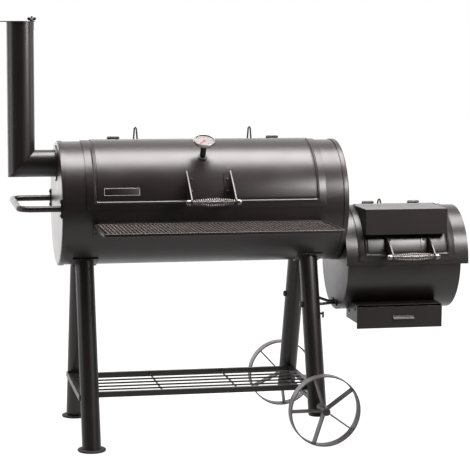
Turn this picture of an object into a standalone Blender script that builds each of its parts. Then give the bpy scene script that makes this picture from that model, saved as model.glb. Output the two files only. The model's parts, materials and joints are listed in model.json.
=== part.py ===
"""Offset smoker: a barrel cooking chamber with a side firebox, on a wheeled A-frame.

Metres, +Z up. +X points from the chimney to the firebox, -Y is the side the cook stands on.
The drawing frame has X = 0 at the middle of the chamber, Y = 0 in its upright middle plane and
Z = 0 on the ground. The root empty moves all of it, so that the world origin lies on the ground
under the middle of the whole object.
"""

from math import acos, cos, degrees, pi, radians, sin, sqrt

import bmesh
import bpy
from mathutils import Vector

# Fits
FIT_GAP = 0.0003  # between pieces that touch
LAP_GAP = 0.0008  # between a lid and the drum that it laps over
PIN_GAP = 0.0004  # round a pin that turns

# Cooking chamber
DRUM_RADIUS = 0.203
DRUM_LENGTH = 0.944  # over both end caps
DRUM_HEIGHT = 0.775  # of its axis
DRUM_SHEET = 0.003
CAP_LAP = 0.018  # how far an end cap's rim reaches along the drum
CAP_CORNER = 0.006
CAP_SHEET = 0.0027
DOOR_LENGTH = 0.742
DOOR_LOW = 5.0  # degrees above the front horizontal
DOOR_HIGH = 88.0
LID_LENGTH = 0.786
LID_LOW = -1.0
LID_HIGH = 96.0
PANEL_LENGTH = 0.730  # the raised panel pressed in the lid
PANEL_LOW = 5.7
PANEL_HIGH = 88.0
PANEL_RISE = 0.003
PANEL_SLOPE = 0.003

# Firebox
BOX_RADIUS = 0.1745  # of its lower half
BOX_HEIGHT = 0.5725  # of its axis
BOX_LENGTH = 0.391  # of its lower half
BOX_SHEET = 0.0025
BOX_SET = 0.0065  # from the chamber's end cap to the lower half
HOOD_LENGTH = 0.4225
HOOD_GAP = 0.0005  # between the lower half and the hood
HOOD_LAP = 1.5  # degrees that each half reaches past the horizontal
BOX_DOOR_LENGTH = 0.294
BOX_DOOR_LOW = 9.0
BOX_DOOR_HIGH = 86.0
BOX_LID_LENGTH = 0.334
BOX_LID_LOW = 3.0
BOX_LID_HIGH = 96.0
BOX_PANEL_LENGTH = 0.290
BOX_PANEL_LOW = 9.0
BOX_LID_SHIFT = 0.0035  # of the lid from the hood's middle, towards the chamber
THROAT_WIDTH = 0.150
THROAT_DROP = 0.043  # from the top of the lower half's circle to the throat's top edge
THROAT_DEEP = 0.082
THROAT_CORNER = 0.012
THROAT_SHEET = 0.002
PLATE_SHEET = 0.003  # of the firebox ends

# Warming box on the firebox lid
WARM_LENGTH = 0.281
WARM_SHIFT = -0.007  # from the middle of the lid
WARM_BACK = 0.035  # in front of the axis
WARM_RISE = 0.0095  # of its top above the lower half's circle
WARM_REACH = 0.0155  # of its front before that circle
WARM_DEEP = 0.0845
WARM_SHEET = 0.002

# Ash drawer and its housing
ASH_LENGTH = 0.293
ASH_DROP = 0.022  # of its floor below the drum
ASH_DEEP = 0.061
ASH_REACH = 0.0125  # of its front before the drum
ASH_BACK = 0.050  # in front of the axis
ASH_SHEET = 0.002
ASH_SIDE_GAP = 0.0015
ASH_FACE = 0.003
ASH_PULL = 0.011
ASH_SLOT = 0.240  # the slot in the drum that ash falls through
ASH_SLOT_LOW = -71.0
ASH_SLOT_HIGH = -54.0
ASH_TRAVEL = 0.120
ASH_SHIFT = 0.0205  # of the housing from the middle, towards the chamber
ASH_TRAY_DEEP = 0.024
ASH_FACE_DROP = 0.018  # of the face below the housing's floor
ASH_FACE_RISE = 0.054  # of the face above it
ASH_PULL_LENGTH = 0.072
ASH_PULL_RISE = 0.013  # of the pull above it
ASH_PULL_SHIFT = 0.012

# Air inlet
INLET_RADIUS = 0.055
INLET_HOLE = 0.015
INLET_CIRCLE = 0.034
INLET_HOLES = 3
INLET_PIN = 0.004
INLET_SHEET = 0.002
INLET_RISE = -0.045  # of its centre above the firebox axis
INLET_TURN = 60.0

# Chimney
FLUE_RADIUS = 0.0445
FLUE_SHEET = 0.002
FLUE_HEIGHT = 0.907  # of the horizontal run
FLUE_REACH = 0.113  # from the end cap to the upright's axis
FLUE_FLANGE_WIDTH = 0.0145
FLUE_FLANGE_SHEET = 0.004
CHIMNEY_TOP = 1.366
FLUE_CAP_LAP = 0.0035
FLUE_CAP_SHEET = 0.003
FLUE_CAP_TAB = 0.022
FLUE_CAP_TURN = 150.0
PIVOT_GAP = 0.009  # from the pipe to the middle of the pin
PIVOT_ANGLE = 40.0
PIVOT_RADIUS = 0.003

# Handles
FIN_SPACING = 0.144
FIN_SHEET = 0.004
FIN_TOP = 33.5  # degrees up the lid
FIN_REACH = 0.0652  # of the rod in front of the lid
FIN_NOSE = 0.012
ROD_RISE = 0.022  # of the rod above the chamber axis
BOX_ROD_RISE = 0.0315
ROD_RADIUS = 0.005
GRIP_ENDS = 0.009
GRIP_MIDDLE = 0.0155
NUT_RADIUS = 0.0095
NUT_LENGTH = 0.018
FLANGE_WIDTH = 0.024
FLANGE_SHEET = 0.002
FLANGE_LOW = 8.0
HANDLE_SHIFT = 0.005  # of the chamber handle from the middle

# Thermometer
DIAL_PLACE = 48.7  # degrees up the lid
DIAL_TILT = 62.0  # of the stem above the horizontal
DIAL_SHIFT = -0.0075
DIAL_RADIUS = 0.035
DIAL_DEPTH = 0.012
DIAL_STAND = 0.066  # of the face above the raised panel
STEM_RADIUS = 0.0095
PROBE_RADIUS = 0.003
NEEDLE_PIN = 0.0012
PROBE_LENGTH = 0.055
NEEDLE_LENGTH = 0.024
NEEDLE_TURN = 270.0

# Hinges and lid stops
HINGE_PLACE = 98.0
HINGE_RISE = 0.0105  # of the pin above the drum
HINGE_LENGTH = 0.038
HINGE_SPREAD = 0.270  # of each hinge from the middle
HINGE_KNUCKLE = 0.0055
HINGE_PIN = 0.003
HINGE_STRAP = 0.003
HINGE_CHEEK = 0.010
HINGE_SHIFT = 0.009  # of both hinges towards the chimney
BOX_HINGE_SPREAD = 0.081
LID_OPENING = 115.0
BOX_LID_OPENING = 105.0
STOP_SPREAD = 0.194
STOP_SHIFT = 0.008  # towards the chimney
STOP_BACK = 0.047
STOP_RISE = 0.0455  # of its top above the drum
BOX_STOP_SHIFT = -0.036
BOX_STOP_BACK = 0.042
BOX_STOP_RISE = 0.022
STOP_RADIUS = 0.003
STOP_WIDTH = 0.013

# Stand
LEG_RADIUS = 0.0305
LEG_SHEET = 0.002
LEFT_LEGS = -0.388
RIGHT_LEGS = 0.3645
LEG_TOP_SPREAD = 0.075
LEG_FOOT_SPREAD = 0.2535
SADDLE_HALF = 0.0415
SADDLE_ANGLE = -68.3
SADDLE_SPAN = 23.4
SADDLE_SHEET = 0.004
FOOT_RADIUS = 0.046
FOOT_THICKNESS = 0.007
FOOT_PLUG = 0.014
LEG_STUB = 0.035  # how far a wheeled leg reaches below the axle
RACK_TOP = 0.171
RACK_SPREAD = 0.158
RACK_BAR_HEIGHT = 0.018
RACK_BAR_WIDTH = 0.012
RACK_RIGHT = 0.367
RACK_WIRES = 5
RACK_WIRE = 0.003
RACK_CROSS = (-0.138, 0.113)
STRUT_SHEET = 0.004
BRACE_HEIGHT = 0.435  # at the leg
BRACE_RADIUS = 0.005
BRACE_HEAD = 0.010
BRACE_END_SPREAD = 0.020  # at the firebox
BRACE_END_RISE = 0.023  # above the lowest line of the firebox
BRACE_PAD = 0.012

# Wheels
WHEEL_RADIUS = 0.1165
WHEEL_WIDTH = 0.040
WHEEL_STRIP = 0.004
WHEEL_OUTSIDE = 0.339
WHEEL_HUB = 0.013
SPOKE_WIDTH = 0.036
WHEEL_HUB_LENGTH = 0.080
HUB_PROUD = 0.006
SPOKES = 5
SPOKE_SHEET = 0.004
FRONT_SPOKE = 36.0
REAR_SPOKE = 61.0
AXLE_RADIUS = 0.008
AXLE_HEAD = 0.012
AXLE_HEAD_LENGTH = 0.005
AXLE_COLLAR = 0.0125
AXLE_COLLAR_LENGTH = 0.004

# Front shelf
SHELF_LENGTH = 0.760
SHELF_SHIFT = 0.005
SHELF_TOP = 0.7265
SHELF_GAP = 0.009  # from the drum to the shelf
SHELF_DEPTH = 0.276
SHELF_LIP = 0.010
SHELF_RIM = 0.005
SHELF_SHEET = 0.003
SHELF_CORNER = 0.018
BRACKET_WIDTH = 0.020
BRACKET_SPREAD = 0.368
BRACKET_LOW = -28.5  # degrees on the drum
BRACKET_SHEET = 0.004
BRACKET_REACH = 0.200

# Pull handle
PULL_REACH = 0.133
PULL_SPREAD = 0.188
PULL_RADIUS = 0.010
PULL_BEND = 0.040
PULL_PAD_HEIGHT = 0.060
PULL_PAD_WIDTH = 0.025
PULL_PAD_SHEET = 0.004

# Grates
GRATE_HEIGHT = 0.742
GRATE_COUNT = 2
GRATE_SPACE = 0.003
GRATE_RIM = 0.008
GRATE_BARS = 10
GRATE_BAR = 0.006
RAIL_SHEET = 0.003
RAIL_WIDTH = 0.016
COAL_GRATE_HEIGHT = 0.470
COAL_BARS = 8

STEP = 6.0  # degrees between the edges that make a curve

MIDDLE = Vector((0, 0, DRUM_HEIGHT))
HALF = DRUM_LENGTH / 2
BOX_START = HALF + BOX_SET
HOOD_START = HALF + 2 * FIT_GAP
HOOD_RADIUS = BOX_RADIUS + HOOD_GAP + BOX_SHEET
BOX_LID_INSIDE = HOOD_RADIUS + LAP_GAP
BOX_LID_OUTSIDE = BOX_LID_INSIDE + BOX_SHEET
LID_INSIDE = DRUM_RADIUS + LAP_GAP
LID_OUTSIDE = LID_INSIDE + DRUM_SHEET
HOOD_MIDDLE = HOOD_START + HOOD_LENGTH / 2
BOX_LID_MIDDLE = HOOD_MIDDLE - BOX_LID_SHIFT
BOX_TOP = BOX_HEIGHT + BOX_RADIUS
BOX_BOTTOM = BOX_HEIGHT - BOX_RADIUS
THROAT_HIGH = BOX_TOP - THROAT_DROP
THROAT_LOW = THROAT_HIGH - THROAT_DEEP
WARM_TOP = BOX_TOP + WARM_RISE
WARM_BOTTOM = WARM_TOP - WARM_DEEP
WARM_FRONT = BOX_RADIUS + WARM_REACH
ASH_LOW = BOX_BOTTOM - ASH_DROP
ASH_HIGH = ASH_LOW + ASH_DEEP
ASH_FRONT = BOX_RADIUS + ASH_REACH
ASH_TRAY_TOP = ASH_LOW + ASH_TRAY_DEEP
ASH_FACE_LOW = ASH_LOW - ASH_FACE_DROP
ASH_FACE_TOP = ASH_LOW + ASH_FACE_RISE
ASH_PULL_HEIGHT = ASH_LOW + ASH_PULL_RISE
BRACE_END_HEIGHT = BOX_BOTTOM + BRACE_END_RISE
FLUE_FLANGE = FLUE_RADIUS + FLUE_FLANGE_WIDTH
FLUE_CAP_RADIUS = FLUE_RADIUS + FLUE_CAP_LAP
PIVOT_OFFSET = FLUE_RADIUS + PIVOT_GAP
SHELF_BACK = DRUM_RADIUS + SHELF_GAP
SHELF_FRONT = SHELF_BACK + SHELF_DEPTH
FLUE_X = -HALF - FLUE_REACH
RACK_LEFT = LEFT_LEGS - LEG_RADIUS


def leg_spread(height):
    """Distance of a leg's axis from the middle plane at this height."""
    top = DRUM_HEIGHT - sqrt(DRUM_RADIUS**2 - LEG_TOP_SPREAD**2)
    share = (top - height) / top
    return LEG_TOP_SPREAD + share * (LEG_FOOT_SPREAD - LEG_TOP_SPREAD)


FAR_LEFT = FLUE_X - FLUE_CAP_RADIUS - FLUE_CAP_TAB
FAR_RIGHT = HOOD_START + HOOD_LENGTH
FAR_FRONT = -SHELF_FRONT
FAR_BACK = WHEEL_OUTSIDE + HUB_PROUD + FIT_GAP + AXLE_HEAD_LENGTH
GROUND_CENTRE = Vector(((FAR_LEFT + FAR_RIGHT) / 2, (FAR_FRONT + FAR_BACK) / 2, 0))

FINISHES = {
    "black_enamel": ((0.028, 0.025, 0.025), 0.35, 0.42),
    "dark_steel": ((0.060, 0.055, 0.055), 0.8, 0.45),
    "wheel_steel": ((0.130, 0.120, 0.125), 0.7, 0.5),
    "bright_steel": ((0.620, 0.600, 0.580), 1.0, 0.28),
    "cast_iron": ((0.035, 0.034, 0.034), 0.7, 0.6),
    "rubber": ((0.020, 0.020, 0.020), 0.0, 0.7),
    "dial_face": ((0.800, 0.790, 0.760), 0.0, 0.4),
    "needle_red": ((0.500, 0.030, 0.020), 0.0, 0.4),
}


def clear_scene():
    for obj in list(bpy.data.objects):
        bpy.data.objects.remove(obj, do_unlink=True)


def finish_material(name):
    found = bpy.data.materials.get(name)
    if found:
        return found
    colour, metallic, roughness = FINISHES[name]
    made = bpy.data.materials.new(name)
    made.use_nodes = True
    shader = made.node_tree.nodes["Principled BSDF"]
    shader.inputs["Base Color"].default_value = (*colour, 1)
    shader.inputs["Metallic"].default_value = metallic
    shader.inputs["Roughness"].default_value = roughness
    return made


def make_object(name, bm, finish, pivot=None):
    """A named object from a bmesh drawn in the drawing frame; its origin goes to pivot."""
    bmesh.ops.remove_doubles(bm, verts=bm.verts, dist=1e-6)
    bmesh.ops.recalc_face_normals(bm, faces=bm.faces)
    origin = Vector(pivot) if pivot is not None else Vector((0, 0, 0))
    bmesh.ops.translate(bm, verts=bm.verts, vec=-origin)
    mesh = bpy.data.meshes.new(name)
    bm.to_mesh(mesh)
    bm.free()
    mesh.shade_smooth()
    mesh.set_sharp_from_angle(angle=radians(30))
    mesh.materials.append(finish_material(finish))
    obj = bpy.data.objects.new(name, mesh)
    bpy.context.scene.collection.objects.link(obj)
    obj.parent = ROOT
    obj.location = origin
    return obj


def combine(obj, other, operation):
    """Joins other to obj, or cuts it away; other stays as a hidden helper."""
    other.hide_render = True
    other.display_type = "WIRE"
    modifier = obj.modifiers.new(other.name, "BOOLEAN")
    modifier.operation = operation
    modifier.solver = "EXACT"
    modifier.object = other


def join(obj, other):
    combine(obj, other, "UNION")


def cut(obj, other):
    combine(obj, other, "DIFFERENCE")


def loft(rings, closed=False):
    """A skin over rings of equal length; the ends are capped, or joined when closed."""
    bm = bmesh.new()
    made = [[bm.verts.new(point) for point in ring] for ring in rings]
    count = len(made[0])
    pairs = list(zip(made, made[1:]))
    if closed:
        pairs.append((made[-1], made[0]))
    for first, second in pairs:
        for i in range(count):
            j = (i + 1) % count
            bm.faces.new((first[i], first[j], second[j], second[i]))
    if not closed:
        bm.faces.new(made[0])
        bm.faces.new(list(reversed(made[-1])))
    return bm


def basis(axis):
    """Two unit vectors square to axis."""
    axis = Vector(axis).normalized()
    side = Vector((0, 0, 1)) if abs(axis.z) < 0.9 else Vector((1, 0, 0))
    across = side.cross(axis).normalized()
    return across, axis.cross(across)


def ring(centre, axis, radius, sides, tilt=None):
    """A circle of points; tilt maps each offset from the centre to a shift along the axis."""
    across, up = basis(axis)
    axis = Vector(axis).normalized()
    points = []
    for i in range(sides):
        angle = 2 * pi * i / sides
        offset = radius * (cos(angle) * across + sin(angle) * up)
        shift = tilt(offset) if tilt else 0
        points.append(Vector(centre) + offset + shift * axis)
    return points


def turned(profile, start, axis, sides=32, closed=False):
    """A turned solid: profile is (radius, distance along axis). A radius of 0 closes an end."""
    axis = Vector(axis).normalized()
    start = Vector(start)
    if closed:
        return loft([ring(start + d * axis, axis, r, sides) for r, d in profile], True)
    body = [(r, d) for r, d in profile if r > 0]
    return loft([ring(start + d * axis, axis, r, sides) for r, d in body])


def prism(outline, axis, low, high):
    """An outline in the plane square to X, Y or Z, made solid from low to high."""
    order = {"X": (2, 0, 1), "Y": (0, 2, 1), "Z": (0, 1, 2)}[axis]

    def place(point, level):
        values = (point[0], point[1], level)
        return Vector([values[i] for i in order])

    return loft([[place(p, low) for p in outline], [place(p, high) for p in outline]])


def box(low, high):
    outline = [(low[0], low[1]), (high[0], low[1]), (high[0], high[1]), (low[0], high[1])]
    return prism(outline, "Z", low[2], high[2])


def arc(centre, radius, start, end, step=STEP):
    """Points in a plane from start to end degrees."""
    count = max(1, round(abs(end - start) / step))
    points = []
    for i in range(count + 1):
        angle = radians(start + (end - start) * i / count)
        points.append((centre[0] + radius * cos(angle), centre[1] + radius * sin(angle)))
    return points


def on_drum(angle, radius, x=0.0, height=DRUM_HEIGHT):
    """A point on a drum: 0 degrees is its front, 90 its top."""
    a = radians(angle)
    return Vector((x, -radius * cos(a), height + radius * sin(a)))


def stations(low, high, breaks=(), step=STEP):
    """Values from low to high, no further apart than step, that include the breaks."""
    fixed = sorted({low, high, *[b for b in breaks if low < b < high]})
    values = []
    for a, b in zip(fixed, fixed[1:]):
        count = max(1, round((b - a) / step))
        values += [a + (b - a) * i / count for i in range(count)]
    return values + [high]


def grid_sheet(us, vs, faces_at, keep=None, wrap=False):
    """A sheet over a grid. faces_at gives a point's two sides, keep says which cells stay."""
    grid = []
    bm = bmesh.new()
    for u in us:
        row = []
        for v in vs[:-1] if wrap else vs:
            outer, inner = faces_at(u, v)
            row.append((bm.verts.new(outer), bm.verts.new(inner)))
        grid.append(row)
    cells = len(vs) - 1

    def kept(i, j):
        if wrap:
            j %= cells
        if not (0 <= i < len(us) - 1 and 0 <= j < cells):
            return False
        return keep is None or keep((us[i] + us[i + 1]) / 2, (vs[j] + vs[j + 1]) / 2)

    for i in range(len(us) - 1):
        for j in range(cells):
            if not kept(i, j):
                continue
            k = (j + 1) % len(grid[i])
            a, b, c, d = grid[i][j], grid[i + 1][j], grid[i + 1][k], grid[i][k]
            bm.faces.new((a[0], b[0], c[0], d[0]))
            bm.faces.new((d[1], c[1], b[1], a[1]))
            edges = (
                (kept(i - 1, j), d, a),
                (kept(i + 1, j), b, c),
                (kept(i, j - 1), a, b),
                (kept(i, j + 1), c, d),
            )
            for covered, p, q in edges:
                if not covered:
                    bm.faces.new((p[0], p[1], q[1], q[0]))
    loose = [v for v in bm.verts if not v.link_faces]
    bmesh.ops.delete(bm, geom=loose, context="VERTS")
    return bm


def curved_sheet(xs, angles, radius, sheet, height, rise=None, keep=None, wrap=False):
    """A rolled sheet of this outer radius. rise lifts a point, keep drops cells."""

    def faces_at(x, angle):
        level = radius + (rise(x, angle) if rise else 0)
        return on_drum(angle, level, x, height), on_drum(angle, level - sheet, x, height)

    return grid_sheet(xs, angles, faces_at, keep, wrap)


def swept(points, radius, sides=12, sheet=0.0):
    """A bent round bar along points, or a tube with open ends if it has a sheet."""
    points = [Vector(p) for p in points]
    directions = [(b - a).normalized() for a, b in zip(points, points[1:])]
    frames = []
    across, _ = basis(directions[0])
    for i, point in enumerate(points):
        before = directions[max(0, i - 1)]
        after = directions[min(i, len(directions) - 1)]
        tangent = (before + after).normalized()
        across = (across - across.dot(tangent) * tangent).normalized()
        frames.append((point, across.copy(), tangent.cross(across)))

    def rings(r):
        made = []
        for point, u, v in frames:
            turns = [2 * pi * k / sides for k in range(sides)]
            made.append([point + r * (cos(t) * u + sin(t) * v) for t in turns])
        return made

    if not sheet:
        return loft(rings(radius))
    return loft(rings(radius) + rings(radius - sheet)[::-1], closed=True)


def corner_path(points, bend, count=5):
    """A path of straight runs whose corners are rounded to the bend radius."""
    points = [Vector(p) for p in points]
    path = [points[0]]
    for a, b, c in zip(points, points[1:], points[2:]):
        u = (a - b).normalized()
        v = (c - b).normalized()
        half = acos(max(-1, min(1, u.dot(v)))) / 2
        reach = bend / (sin(half) / cos(half))
        centre = b + (u + v).normalized() * (bend / sin(half))
        first = b + u * reach - centre
        last = b + v * reach - centre
        for i in range(count + 1):
            share = i / count
            path.append(centre + (first.slerp(last, share)).normalized() * bend)
    path.append(points[-1])
    return path


# Cooking chamber


def drum():
    reach = HALF - CAP_SHEET - FIT_GAP
    door = DOOR_LENGTH / 2
    angles = stations(-180.0, 180.0, (DOOR_LOW, DOOR_HIGH))

    def keep(x, angle):
        return not (abs(x) < door and DOOR_LOW < angle < DOOR_HIGH)

    bm = curved_sheet(
        [-reach, -door, door, reach], angles, DRUM_RADIUS, DRUM_SHEET, DRUM_HEIGHT,
        keep=keep, wrap=True,
    )
    return make_object("chamber_barrel", bm, "black_enamel")


def end_cap(name, side):
    rim = DRUM_RADIUS + FIT_GAP + CAP_SHEET
    profile = [
        (0.02, 0),
        (rim - CAP_CORNER, 0),
        (rim - CAP_CORNER * 0.3, CAP_CORNER * 0.3),
        (rim, CAP_CORNER),
        (rim, CAP_LAP),
        (rim - CAP_SHEET, CAP_LAP),
        (rim - CAP_SHEET, CAP_SHEET + FIT_GAP),
        (rim - CAP_SHEET - 0.002, CAP_SHEET),
        (0.02, CAP_SHEET),
    ]
    start = MIDDLE + Vector((side * HALF, 0, 0))
    sides = round(360 / STEP)
    return make_object(name, turned(profile, start, (-side, 0, 0), sides), "black_enamel")


def throat_outline(grow):
    """The opening between the chamber and the firebox, in Y and Z, made larger by grow."""
    half = THROAT_WIDTH / 2 + grow
    corner = THROAT_CORNER + grow
    low = THROAT_LOW - grow + corner
    high = THROAT_HIGH + grow - corner
    places = ((1, high, 0), (-1, high, 90), (-1, low, 180), (1, low, 270))
    outline = []
    for side, level, turn in places:
        outline += arc((side * (half - corner), level), corner, turn, turn + 90, 30)
    return outline


def chamber():
    drum()
    left = end_cap("chamber_end_left", -1)
    radius = FLUE_RADIUS - FLUE_SHEET
    hole = turned([(radius, -0.02), (radius, 0.02)], (-HALF, 0, FLUE_HEIGHT), (1, 0, 0), 30)
    cut(left, make_object("flue_cutter", hole, "black_enamel"))
    right = end_cap("chamber_end_right", 1)
    hole = prism(throat_outline(0), "X", HALF - 0.02, HALF + 0.01)
    cut(right, make_object("throat_cutter", hole, "black_enamel"))


def grate(name, low, high, height, thickness, bars, finish):
    """A flat grate: a rim, bars across it and one spine along its middle."""
    us = [low[0], low[0] + GRATE_RIM]
    pitch = (high[0] - low[0] - 2 * GRATE_RIM) / (bars + 1)
    for i in range(1, bars + 1):
        middle = us[1] + i * pitch
        us += [middle - GRATE_BAR / 2, middle + GRATE_BAR / 2]
    us += [high[0] - GRATE_RIM, high[0]]
    vs = [low[1], low[1] + GRATE_RIM, -GRATE_BAR / 2, GRATE_BAR / 2, high[1] - GRATE_RIM, high[1]]

    def faces_at(x, y):
        return (x, y, height + thickness), (x, y, height)

    def keep(x, y):
        column = sum(u < x for u in us) - 1
        row = sum(v < y for v in vs) - 1
        return column % 2 == 0 or row in (0, 2, 4)

    return make_object(name, grid_sheet(us, vs, faces_at, keep), finish)


def grates():
    inside = DRUM_RADIUS - DRUM_SHEET - FIT_GAP
    top = GRATE_HEIGHT - FIT_GAP
    low = top - RAIL_WIDTH
    wall = sqrt(inside**2 - (DRUM_HEIGHT - low) ** 2)
    end = HALF - CAP_SHEET - 0.004
    for name, side in (("grate_rail_front", -1), ("grate_rail_rear", 1)):
        outline = [
            (side * wall, top),
            (side * (wall - RAIL_WIDTH), top),
            (side * (wall - RAIL_WIDTH), top - RAIL_SHEET),
            (side * (wall - RAIL_SHEET), top - RAIL_SHEET),
            (side * (wall - RAIL_SHEET), low),
            (side * wall, low),
        ]
        make_object(name, prism(outline, "X", -end, end), "dark_steel")
    reach = wall - RAIL_WIDTH * 0.3
    names = ("cooking_grate_left", "cooking_grate_right")
    each = (2 * end - GRATE_SPACE * (GRATE_COUNT - 1)) / GRATE_COUNT
    for i, name in enumerate(names[:GRATE_COUNT]):
        x = -end + i * (each + GRATE_SPACE)
        grate(name, (x, -reach), (x + each, reach), GRATE_HEIGHT, 0.008, GRATE_BARS, "cast_iron")


# Lids and hinges


def lid_skin(name, pivot, middle, length, low, high, panel, panel_low, radius, sheet, height):
    """A rolled lid with a raised panel whose border slopes."""
    slope = degrees(PANEL_SLOPE / radius)
    half = length / 2
    inner = panel / 2
    xs = [-half, -inner - PANEL_SLOPE, -inner, inner, inner + PANEL_SLOPE, half]
    breaks = (panel_low - slope, panel_low, PANEL_HIGH, PANEL_HIGH + slope)

    def rise(x, angle):
        raised = abs(x - middle) < inner + 1e-6 and panel_low - 1e-6 < angle < PANEL_HIGH + 1e-6
        return PANEL_RISE if raised else 0.0

    angles = stations(low, high, breaks)
    bm = curved_sheet([middle + x for x in xs], angles, radius, sheet, height, rise)
    return make_object(name, bm, "black_enamel", pivot)


def hinge_axis(radius, height):
    return on_drum(HINGE_PLACE, radius + HINGE_RISE, 0, height)


def add_hinge_straps(lid, centres, radius, height, lid_high, pivot):
    """Welds a strap with a bored knuckle to the lid at each centre; radius is the drum's."""
    axis = hinge_axis(radius, height)
    skin = radius + LAP_GAP + BOX_SHEET
    half = HINGE_LENGTH / 2 - HINGE_CHEEK - 0.0005
    edge = on_drum(lid_high - 4.0, skin - 0.0005, 0, height)
    outline = arc((axis.y, axis.z), HINGE_KNUCKLE, 90, -60, 30)
    outline += [(edge.y, edge.z), (edge.y - 0.012, edge.z + 0.0002)]
    outline += [(edge.y - 0.012, edge.z + HINGE_STRAP + 0.0015)]
    bore = HINGE_PIN + PIN_GAP
    for i, x in enumerate(centres):
        strap = prism(outline, "X", x - half, x + half)
        join(lid, make_object(f"{lid.name}_strap_{i}", strap, "black_enamel", pivot))
        hole = turned([(bore, -0.03), (bore, 0.03)], (x, axis.y, axis.z), (1, 0, 0), 12)
        cut(lid, make_object(f"{lid.name}_bore_{i}", hole, "black_enamel", pivot))


def hinge_base(name, x, radius, height):
    """The fixed half: two cheeks on a foot behind the lid, with the pin through them."""
    axis = hinge_axis(radius, height)
    half = HINGE_LENGTH / 2
    foot = [on_drum(HINGE_PLACE + 1.5 + 3.0 * i, radius + FIT_GAP, 0, height).yz for i in range(3)]
    back = on_drum(HINGE_PLACE + 7.5, radius + FIT_GAP + HINGE_STRAP, 0, height).yz
    outline = [tuple(p) for p in foot] + [tuple(back)]
    outline += arc((axis.y, axis.z), HINGE_KNUCKLE, 20, 200, 30)
    outline += [(foot[0].x - 0.001, axis.z - 0.004)]
    base = make_object(name, prism(outline, "X", x - half, x - half + HINGE_CHEEK), "dark_steel")
    other = prism(outline, "X", x + half - HINGE_CHEEK, x + half)
    join(base, make_object(f"{name}_cheek", other, "dark_steel"))
    angles = (HINGE_PLACE + 1.8, HINGE_PLACE + 4.5, HINGE_PLACE + 7.2)
    ends = (x - half + 0.001, x + half - 0.001)
    outer = radius + FIT_GAP + HINGE_STRAP - 0.0002
    plate = curved_sheet(ends, angles, outer, HINGE_STRAP - 0.0004, height)
    join(base, make_object(f"{name}_plate", plate, "dark_steel"))
    reach = half + 0.002
    pin = turned([(HINGE_PIN, -reach), (HINGE_PIN, reach)], (x, axis.y, axis.z), (1, 0, 0), 12)
    join(base, make_object(f"{name}_pin", pin, "dark_steel"))


def lid_stop(name, x, radius, height, back, rise):
    """A narrow loop of bent rod that an open lid leans on."""
    foot = height + sqrt((radius + FIT_GAP) ** 2 - back**2) + 0.0012
    top = height + radius + rise - STOP_RADIUS
    half = STOP_WIDTH / 2 - STOP_RADIUS
    points = [
        (x - half - 0.003, back, foot),
        (x - half, back, top - 0.005),
        (x, back, top),
        (x + half, back, top - 0.005),
        (x + half + 0.003, back, foot),
    ]
    return make_object(name, swept(points, STOP_RADIUS, 8), "dark_steel")


def curve_between(start, control, end, count=6):
    points = []
    for i in range(1, count + 1):
        t = i / count
        a, b, c = (1 - t) ** 2, 2 * t * (1 - t), t * t
        points.append(tuple(a * start[k] + b * control[k] + c * end[k] for k in (0, 1)))
    return points


def handle(prefix, x, radius, height, rise, pivot):
    """Two fins on the lid, a rod with cap nuts through them and a grip; radius is the panel's."""
    seat = radius + FIT_GAP
    rod = (-(radius + FIN_REACH), height + rise)
    low = degrees((rise - FIN_NOSE) / seat)
    edge = [on_drum(a, seat, 0, height).yz for a in stations(low, FIN_TOP, step=5.0)]
    edge = [tuple(p) for p in reversed(edge)]
    nose = arc(rod, FIN_NOSE, 270, 120, 25)
    control = (nose[-1][0] + 0.045, nose[-1][1] + 0.040)
    outer = curve_between(nose[-1], control, edge[0])
    outline = edge + nose + outer[:-1]
    half = FIN_SPACING / 2
    names = (f"{prefix}_fin_left", f"{prefix}_fin_right")
    for name, side in zip(names, (-1, 1)):
        middle = x + side * half
        fin = prism(outline, "X", middle - FIN_SHEET / 2, middle + FIN_SHEET / 2)
        fin = make_object(name, fin, "black_enamel", pivot)
        angles = stations(FLANGE_LOW, FIN_TOP - 2.0, step=5.0)
        ends = sorted((middle, middle - side * FLANGE_WIDTH))
        flange = curved_sheet(ends, angles, seat + FLANGE_SHEET, FLANGE_SHEET, height)
        join(fin, make_object(f"{name}_flange", flange, "black_enamel", pivot))
        bore = ROD_RADIUS + FIT_GAP
        hole = turned([(bore, -0.02), (bore, 0.02)], (middle, *rod), (1, 0, 0), 16)
        cut(fin, make_object(f"{name}_bore", hole, "black_enamel", pivot))
    face = half + FIN_SHEET / 2 + FIT_GAP
    end = face + NUT_LENGTH
    nut = [
        (0.0035, end),
        (0.0070, end - 0.0025),
        (0.0090, end - 0.0070),
        (NUT_RADIUS, end - 0.0100),
        (NUT_RADIUS, face),
        (ROD_RADIUS, face),
    ]
    profile = [(r, -d) for r, d in nut] + list(reversed(nut))
    bar = turned(profile, (x, *rod), (1, 0, 0), 16)
    make_object(f"{prefix}_rod", bar, "bright_steel", pivot)
    reach = half - FIN_SHEET / 2 - FIT_GAP
    outer = []
    for i in range(9):
        share = -1 + 2 * i / 8
        outer.append((GRIP_ENDS + (GRIP_MIDDLE - GRIP_ENDS) * cos(share * pi / 2), share * reach))
    bore = ROD_RADIUS + FIT_GAP
    profile = outer + [(bore, reach), (bore, -reach)]
    grip = turned(profile, (x, *rod), (1, 0, 0), 16, closed=True)
    make_object(f"{prefix}_grip", grip, "bright_steel", pivot)


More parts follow.
